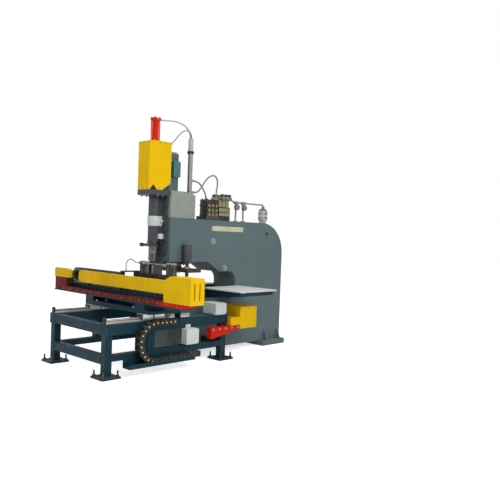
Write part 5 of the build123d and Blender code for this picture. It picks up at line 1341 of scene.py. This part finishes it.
    def tank(self):
        """Clamp bands with their bolts round the accumulator."""
        bm = bmesh.new()
        inner, outer = self.BAND_RADII
        left, right = self.LUGS_X
        for z in self.BANDS_Z:
            top, middle = z + self.BAND_HEIGHT, z + self.BAND_HEIGHT / 2
            hoop = [(inner, z), (outer, z), (outer, top), (inner, top)]
            join(bm, band(hoop, Matrix.Translation((*self.TANK, 0)), 48))
            for near, far in self.LUGS_Y:
                join(bm, block((left, near, z), (right, far, top), 0.001))
            first, last = ((self.LUG_BOLT_X, y, middle) for y in self.LUG_BOLT_Y)
            join(bm, nut(first, last, 0.006))
        piece("tank_bands", bm, "frame", ["zinc_plate"])

    def execute(self, context):
        self.stack()
        self.plugs()
        self.coils()
        self.gauges()
        self.pipe()
        self.tank()
        return {"FINISHED"}


class MACHINE_OT_electrics(Dressing, bpy.types.Operator):
    """Screws down the lids of the junction boxes"""

    bl_idname = "machine.electrics"
    bl_label = "Electrics"

    MARGIN = 0.018

    def execute(self, context):
        places = []
        for node in ("junction_box_upper", "junction_box_lower"):
            low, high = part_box(node)
            corners = inset_corners(low[1:], high[1:], self.MARGIN)
            places += seated([(high[0], y, z) for y, z in corners], RIGHT)
        screw = pan_screw(0.7 * context.scene.machine_sizes.cover_screw)
        fasteners("box_screws", "frame", screw, places)
        return {"FINISHED"}


class MACHINE_OT_guides(Dressing, bpy.types.Operator):
    """Adds rail plugs and guide seals"""

    bl_idname = "machine.guides"
    bl_label = "Guides"

    PLUG = ((0, -0.002), (0.010, -0.002), (0.010, 0.0002), (0.0085, 0.0004), (0, 0.0004))
    PLUGS = 13
    PLUG_MARGIN = 0.03
    GUIDES_Y = (-0.975, -0.830)
    SEALS_FROM_GUIDE = (-0.069, 0.065)
    SEAL = 0.004
    SEAL_Z = (0.546, 0.593)
    SEAL_BRIDGE_Z = 0.566
    SEAL_SIDE = (0.026, 0.051)
    SEAL_BRIDGE = 0.027

    def plugs(self):
        low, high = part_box("y_rails")
        first, last = low[1] + self.PLUG_MARGIN, high[1] - self.PLUG_MARGIN
        points = []
        for x in (-RAIL_X, RAIL_X):
            points += spread((x, first, high[2]), (x, last, high[2]), self.PLUGS)
        fasteners("rail_plugs", "frame", turned(self.PLUG, HERE, 20), seated(points, UP), ["zinc_plate"])

    def seals(self):
        """Scraper plates on both ends of each guide block, open round the rail."""
        bm = bmesh.new()
        bottom, top = self.SEAL_Z
        ends = [middle + reach for middle in self.GUIDES_Y for reach in self.SEALS_FROM_GUIDE]
        for x in (-RAIL_X, RAIL_X):
            for y in ends:
                for side in (-1, 1):
                    near, far = sorted(x + side * reach for reach in self.SEAL_SIDE)
                    join(bm, block((near, y, bottom), (far, y + self.SEAL, top), 0.001))
                low = (x - self.SEAL_BRIDGE, y, self.SEAL_BRIDGE_Z)
                join(bm, block(low, (x + self.SEAL_BRIDGE, y + self.SEAL, top), 0.001))
        piece("guide_seals", bm, "saddle", ["motor_black"])

    def execute(self, context):
        self.plugs()
        self.seals()
        return {"FINISHED"}


class MACHINE_OT_beam(Dressing, bpy.types.Operator):
    """Screws down the beam's covers, its base and the saddle, and backs the louvres with sheets in painted
    shade
    """

    bl_idname = "machine.beam"
    bl_label = "Beam"

    COVER_RIM = 0.014
    COVER_LEFT = 0.07
    COVER_RIGHT = 0.03
    COVER_SCREWS = 8
    BOX_MARGIN = 0.022
    BOX_DROP = 0.03
    BASE_RISE = 0.021
    BASE_LEFT = 0.06
    BASE_RIGHT = 0.05
    BASE_SCREWS = 16
    SADDLE_Z = 0.640
    SADDLE_X = (-0.34, 0.34)
    SADDLE_Y = (-1.010, -0.890)
    SADDLE_REAR_X = (-0.15, 0.05)
    SADDLE_REAR_Y = -0.800
    LOUVRES = (0.28, 0.66)
    SHEET_X = (0.010, 0.006)
    SHEET_HALF = 0.020
    SHEET_MARGIN = 0.035
    HOODS = 6
    HOOD_X = (0.007, 0.0005)
    HOOD_HALF = 0.008
    HOOD_RISE = 0.060
    HOOD_STEP = 0.028
    HOOD = 0.006

    def covers(self, screw):
        low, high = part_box("beam_cover")
        face, left, right = low[1], low[0] + self.COVER_LEFT, high[0] - self.COVER_RIGHT
        points = []
        for z in (low[2] + self.COVER_RIM, high[2] - self.COVER_RIM):
            points += spread((left, face, z), (right, face, z), self.COVER_SCREWS)
        for node, drop in (("motor_box", self.BOX_DROP), ("end_cap", 0.0)):
            low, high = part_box(node)
            corners = inset_corners((low[0], low[2]), (high[0], high[2] - drop), self.BOX_MARGIN)
            points += [(x, face, z) for x, z in corners]
        fasteners("cover_screws", "saddle", pan_screw(screw), seated(points, FORWARD))

    def base(self, thread):
        low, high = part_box("beam_base")
        level, left, right = low[2] + self.BASE_RISE, low[0] + self.BASE_LEFT, high[0] - self.BASE_RIGHT
        points = spread((left, low[1], level), (right, low[1], level), self.BASE_SCREWS)
        fasteners("base_screws", "saddle", socket_screw(thread), seated(points, FORWARD))

    def saddle(self, thread):
        points = [(x, y, self.SADDLE_Z) for x in self.SADDLE_X for y in self.SADDLE_Y]
        points += [(x, self.SADDLE_REAR_Y, self.SADDLE_Z) for x in self.SADDLE_REAR_X]
        fasteners("saddle_bolts", "saddle", hexagon_bolt(thread), seated(points, UP))

    def louvres(self):
        """Sheets and folded hoods behind the slots in the motor box's end, in shaded yellow: painted shade
        for the dark of the slots.
        """
        low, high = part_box("motor_box")
        sheet_near, sheet_far = (high[0] - reach for reach in self.SHEET_X)
        hood_near, hood_far = (high[0] - reach for reach in self.HOOD_X)
        bottom, top = low[2] + self.SHEET_MARGIN, high[2] - self.SHEET_MARGIN
        bm = bmesh.new()
        for share in self.LOUVRES:
            y = low[1] + (high[1] - low[1]) * share
            sheet_low = (sheet_near, y - self.SHEET_HALF, bottom)
            join(bm, block(sheet_low, (sheet_far, y + self.SHEET_HALF, top), 0.001))
            for step in range(self.HOODS):
                z = low[2] + self.HOOD_RISE + self.HOOD_STEP * step
                hood_low = (hood_near, y - self.HOOD_HALF, z)
                join(bm, block(hood_low, (hood_far, y + self.HOOD_HALF, z + self.HOOD), 0.001))
        piece("louvre_hoods", bm, "saddle", ["ochre_paint"])

    def execute(self, context):
        sizes = context.scene.machine_sizes
        self.covers(sizes.cover_screw)
        self.base(0.7 * sizes.head_bolt)
        self.saddle(sizes.frame_bolt)
        self.louvres()
        return {"FINISHED"}


class MACHINE_OT_clamps(Dressing, bpy.types.Operator):
    """Dresses the plate clamps and the carriage"""

    bl_idname = "machine.clamps"
    bl_label = "Clamps"

    BARRELS = (0.108, 0.192, 0.558, 0.642)
    BARRELS_Y = -0.748
    CAPS_Z = 1.096
    CAP = ((0, 0), (0.0285, 0), (0.0285, 0.014), (0.025, 0.018), (0.014, 0.018), (0.013, 0.012), (0, 0.012))
    PORTS_Z = 1.090
    PORT_NUT_Y = (-0.788, -0.776)
    PORT_NUT = 0.0135
    TUBE_Y = -0.794
    TUBE_RADIUS = 0.006
    TUBE_NUT = 0.0115
    TUBE_NUT_END = 0.030
    ELBOW_HALF = 0.012
    ELBOW_Y = (-0.806, -0.785)
    BODIES_X = (0.150, 0.600)
    BODIES_Y = -0.720
    BODIES_Z = (0.885, 0.965)
    BODY_SIDES = (-0.07, 0.07)
    PLATE_X = (0.29, 0.41, 0.46)
    PLATE_Y = -0.776
    PLATE_Z = (0.80, 0.96)

    def caps(self):
        """Screwed caps on the clamp cylinders and nuts on their ports."""
        bm = bmesh.new()
        for x in self.BARRELS:
            join(bm, turned(self.CAP, Matrix.Translation((x, self.BARRELS_Y, self.CAPS_Z)), 32))
            first, last = ((x, y, self.PORTS_Z) for y in self.PORT_NUT_Y)
            join(bm, nut(first, last, self.PORT_NUT))
        piece("clamp_caps", bm, "carriage", ["zinc_plate"])

    def tube(self):
        """Steel tube from the first clamp's ports to the second's, with its elbows and nuts."""
        bm = bmesh.new()
        left, right = self.BARRELS[1:3]
        y, z, half = self.TUBE_Y, self.PORTS_Z, self.ELBOW_HALF
        join(bm, bar((left, y, z), (right, y, z), self.TUBE_RADIUS, 0.001, 16))
        for x, way in ((left, 1), (right, -1)):
            near, far = ((x + way * reach, y, z) for reach in (half, self.TUBE_NUT_END))
            front, back = self.ELBOW_Y
            join(bm, block((x - half, front, z - half), (x + half, back, z + half), 0.003))
            join(bm, nut(near, far, self.TUBE_NUT))
        piece("clamp_tube", bm, "carriage", ["zinc_plate"])

    def screws(self, thread):
        columns = list(self.BODIES_X)
        columns += [x + side for x in self.BODIES_X for side in self.BODY_SIDES]
        points = [(x, self.BODIES_Y, z) for x in columns for z in self.BODIES_Z]
        points += [(x, self.PLATE_Y, z) for x in self.PLATE_X for z in self.PLATE_Z]
        fasteners("clamp_screws", "carriage", socket_screw(thread), seated(points, BACK))

    def execute(self, context):
        self.caps()
        self.tube()
        self.screws(context.scene.machine_sizes.head_bolt)
        return {"FINISHED"}


class MACHINE_OT_trim(Dressing, bpy.types.Operator):
    """Rivets the bare plate on the frame, screws the drive's sheets and sleeves the mast"""

    bl_idname = "machine.trim"
    bl_label = "Trim"

    PLATE_LOW = (0.184, 1.465)
    PLATE_HIGH = (0.715, 1.525)
    PLATE = 0.0025
    PLATE_MARGIN = 0.010
    RIVET = ((0, 0), (0.005, 0), (0.004, 0.002), (0, 0.003))
    COVER_Y = (0.318, 0.44, 0.562)
    COVER_BOTTOM = 0.02
    COVER_TOP = 0.018
    BRACKET_Y = (-0.125, -0.03, 0.065, 0.16, 0.26)
    BRACKET_Z = 0.368
    MAST = (0.118, -0.122)
    # Radius and height of each section's points. The foot's heights are from the mast's base, the others'
    # from its top.
    SLEEVE = ((0.0275, -0.145), (0.0292, -0.145), (0.0292, -0.004), (0.0275, -0.001))
    FOOT = ((0.0275, 0), (0.052, 0), (0.052, 0.012), (0.034, 0.016), (0.0275, 0.030))
    COLLAR = ((0.036, -0.176), (0.0385, -0.174), (0.0385, -0.146), (0.036, -0.144))

    def plate(self):
        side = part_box("drill_bracket")[1][0]
        face = side + self.PLATE
        bm = bmesh.new()
        join(bm, block((side, *self.PLATE_LOW), (face, *self.PLATE_HIGH), 0.0005, 0.008, 0))
        for y, z in inset_corners(self.PLATE_LOW, self.PLATE_HIGH, self.PLATE_MARGIN):
            join(bm, turned(self.RIVET, facing((face, y, z), RIGHT), 14), finish_index=1)
        piece("bare_plate", bm, "frame", ["label_plate", "zinc_plate"])

    def drive(self, screw, thread):
        low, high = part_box("y_drive_cover")
        rows = (low[2] + self.COVER_BOTTOM, high[2] - self.COVER_TOP)
        points = [(high[0], y, z) for z in rows for y in self.COVER_Y]
        fasteners("drive_cover_screws", "frame", pan_screw(screw), seated(points, RIGHT))
        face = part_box("y_drive_bracket")[1][0]
        points = [(face, y, self.BRACKET_Z) for y in self.BRACKET_Y]
        fasteners("drive_bracket_bolts", "frame", hexagon_bolt(thread), seated(points, RIGHT))

    def mast(self):
        low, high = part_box("hose_mast")
        sections = ((self.SLEEVE, high[2]), (self.FOOT, low[2]), (self.COLLAR, high[2]))
        bm = bmesh.new()
        for index, (section, level) in enumerate(sections):
            outline = [(radius, level + rise) for radius, rise in section]
            join(bm, band(outline, Matrix.Translation((*self.MAST, 0)), 40), finish_index=index)
        piece("mast_sleeve", bm, "frame", ["pale_skin", "zinc_plate", "motor_black"])

    def execute(self, context):
        sizes = context.scene.machine_sizes
        self.plate()
        self.drive(sizes.cover_screw, sizes.head_bolt)
        self.mast()
        return {"FINISHED"}


class MACHINE_OT_stage(Dressing, bpy.types.Operator):
    """Sets the pale floor, the soft lamps and the camera"""

    bl_idname = "machine.stage"
    bl_label = "Stage"

    WHITE = (1, 1, 1, 1)
    FLOOR_HALF = 40
    FLOOR_DROP = 0.0005
    # Place, target and size of each lamp.
    LAMPS = {
        "key": ((6.5, -2.0, 4.6), (0, 0, 1.1), 3.2),
        "fill": ((-1.5, -7.0, 3.2), (0, -0.6, 1.0), 3.5),
        "top": ((0.5, -0.5, 6.5), (0, 0, 1), 4.0),
    }

    def seen(self, graph):
        """1 for rays that show the background: camera, glossy and transmission."""
        rays = graph.add("ShaderNodeLightPath").outputs
        shown = graph.math("MAXIMUM", rays["Is Camera Ray"], rays["Is Glossy Ray"])
        return graph.math("MAXIMUM", shown, rays["Is Transmission Ray"])

    def floor(self, tint, strength):
        bm = bmesh.new()
        bmesh.ops.create_grid(bm, x_segments=1, y_segments=1, size=self.FLOOR_HALF)
        bmesh.ops.translate(bm, vec=(0, 0, -self.FLOOR_DROP), verts=bm.verts)
        material = bpy.data.materials.new("floor")
        material.use_nodes = True
        graph = Graph(material.node_tree)
        matt = graph.add("ShaderNodeBsdfDiffuse", {"Color": (*tint, 1)}).outputs[0]
        glow = graph.add("ShaderNodeEmission", {"Color": self.WHITE, "Strength": strength}).outputs[0]
        both = graph.add("ShaderNodeAddShader", {0: matt, 1: glow}).outputs[0]
        shown = graph.add("ShaderNodeMixShader", {0: self.seen(graph), 1: matt, 2: both}).outputs[0]
        graph.add("ShaderNodeOutputMaterial", {"Surface": shown})
        mesh = bpy.data.meshes.new("floor")
        bm.to_mesh(mesh)
        bm.free()
        mesh.materials.append(material)
        put("floor", mesh)

    def lamp(self, name, place, target, size, watts):
        light = bpy.data.lights.new(name, "AREA")
        light.size = size
        light.energy = watts
        put(name, light).matrix_world = facing(place, Vector(place) - Vector(target))

    def sky(self, scene, strength):
        """Soft light from all round, in front of a white background."""
        world = bpy.data.worlds.new("studio")
        world.use_nodes = True
        graph = Graph(world.node_tree)
        lit = graph.add("ShaderNodeBackground", {"Color": self.WHITE, "Strength": strength}).outputs[0]
        white = graph.add("ShaderNodeBackground", {"Color": self.WHITE, "Strength": 1.0}).outputs[0]
        both = graph.add("ShaderNodeMixShader", {0: self.seen(graph), 1: lit, 2: white}).outputs[0]
        graph.add("ShaderNodeOutputWorld", {"Surface": both})
        scene.world = world

    def camera(self, scene, stage):
        ahead = Vector((
            -math.sin(stage.heading) * math.cos(stage.pitch),
            math.cos(stage.heading) * math.cos(stage.pitch),
            math.sin(stage.pitch),
        ))
        across = Vector((math.cos(stage.heading), math.sin(stage.heading), 0))
        above = across.cross(ahead)
        right = math.cos(stage.roll) * across + math.sin(stage.roll) * above
        top = math.cos(stage.roll) * above - math.sin(stage.roll) * across
        turn = Matrix((right, top, -ahead)).transposed().to_4x4()
        data = bpy.data.cameras.new("camera")
        data.lens = stage.lens
        made = put("camera", data)
        made.matrix_world = Matrix.Translation(stage.eye) @ turn
        scene.camera = made

    def execute(self, context):
        scene = context.scene
        stage = scene.machine_stage
        scene.view_settings.view_transform = "Standard"
        self.floor(stage.floor, stage.glow)
        for name, (place, target, size) in self.LAMPS.items():
            self.lamp(name, place, target, size, getattr(stage, name))
        self.sky(scene, stage.sky)
        self.camera(scene, stage)
        return {"FINISHED"}


class MACHINE_PT_dressing(bpy.types.Panel):
    """Lists the machine's operators and values"""

    bl_idname = "MACHINE_PT_dressing"
    bl_label = "Punching and drilling machine"
    bl_space_type = "VIEW_3D"
    bl_region_type = "UI"
    bl_category = "Machine"

    def draw(self, context):
        for step in STEPS:
            self.layout.operator(step.bl_idname)
        for name in GROUPS:
            group = getattr(context.scene, name)
            for value in group.bl_rna.properties.keys():
                if value not in ("rna_type", "name"):
                    self.layout.prop(group, value)


GROUPS = {"machine_paints": MachinePaints, "machine_sizes": MachineSizes, "machine_stage": MachineStage}
STEPS = (
    MACHINE_OT_finishes,
    MACHINE_OT_hoses,
    MACHINE_OT_cable_chains,
    MACHINE_OT_ball_screws,
    MACHINE_OT_drill,
    MACHINE_OT_frame_bolts,
    MACHINE_OT_welds,
    MACHINE_OT_drill_motor,
    MACHINE_OT_drill_head,
    MACHINE_OT_hydraulics,
    MACHINE_OT_electrics,
    MACHINE_OT_guides,
    MACHINE_OT_beam,
    MACHINE_OT_clamps,
    MACHINE_OT_trim,
    MACHINE_OT_stage,
)
CLASSES = (*GROUPS.values(), *STEPS, MACHINE_PT_dressing)


def register():
    """Adds the classes and their values to Blender."""
    for kind in CLASSES:
        bpy.utils.register_class(kind)
    for name, group in GROUPS.items():
        setattr(bpy.types.Scene, name, PointerProperty(type=group))


def unregister():
    """Takes them away again."""
    for name in GROUPS:
        delattr(bpy.types.Scene, name)
    for kind in reversed(CLASSES):
        bpy.utils.unregister_class(kind)


def main():
    """Dresses the machine."""
    register()
    for step in STEPS:
        area, name = step.bl_idname.split(".")
        getattr(getattr(bpy.ops, area), name)()


if __name__ == "__main__":
    main()
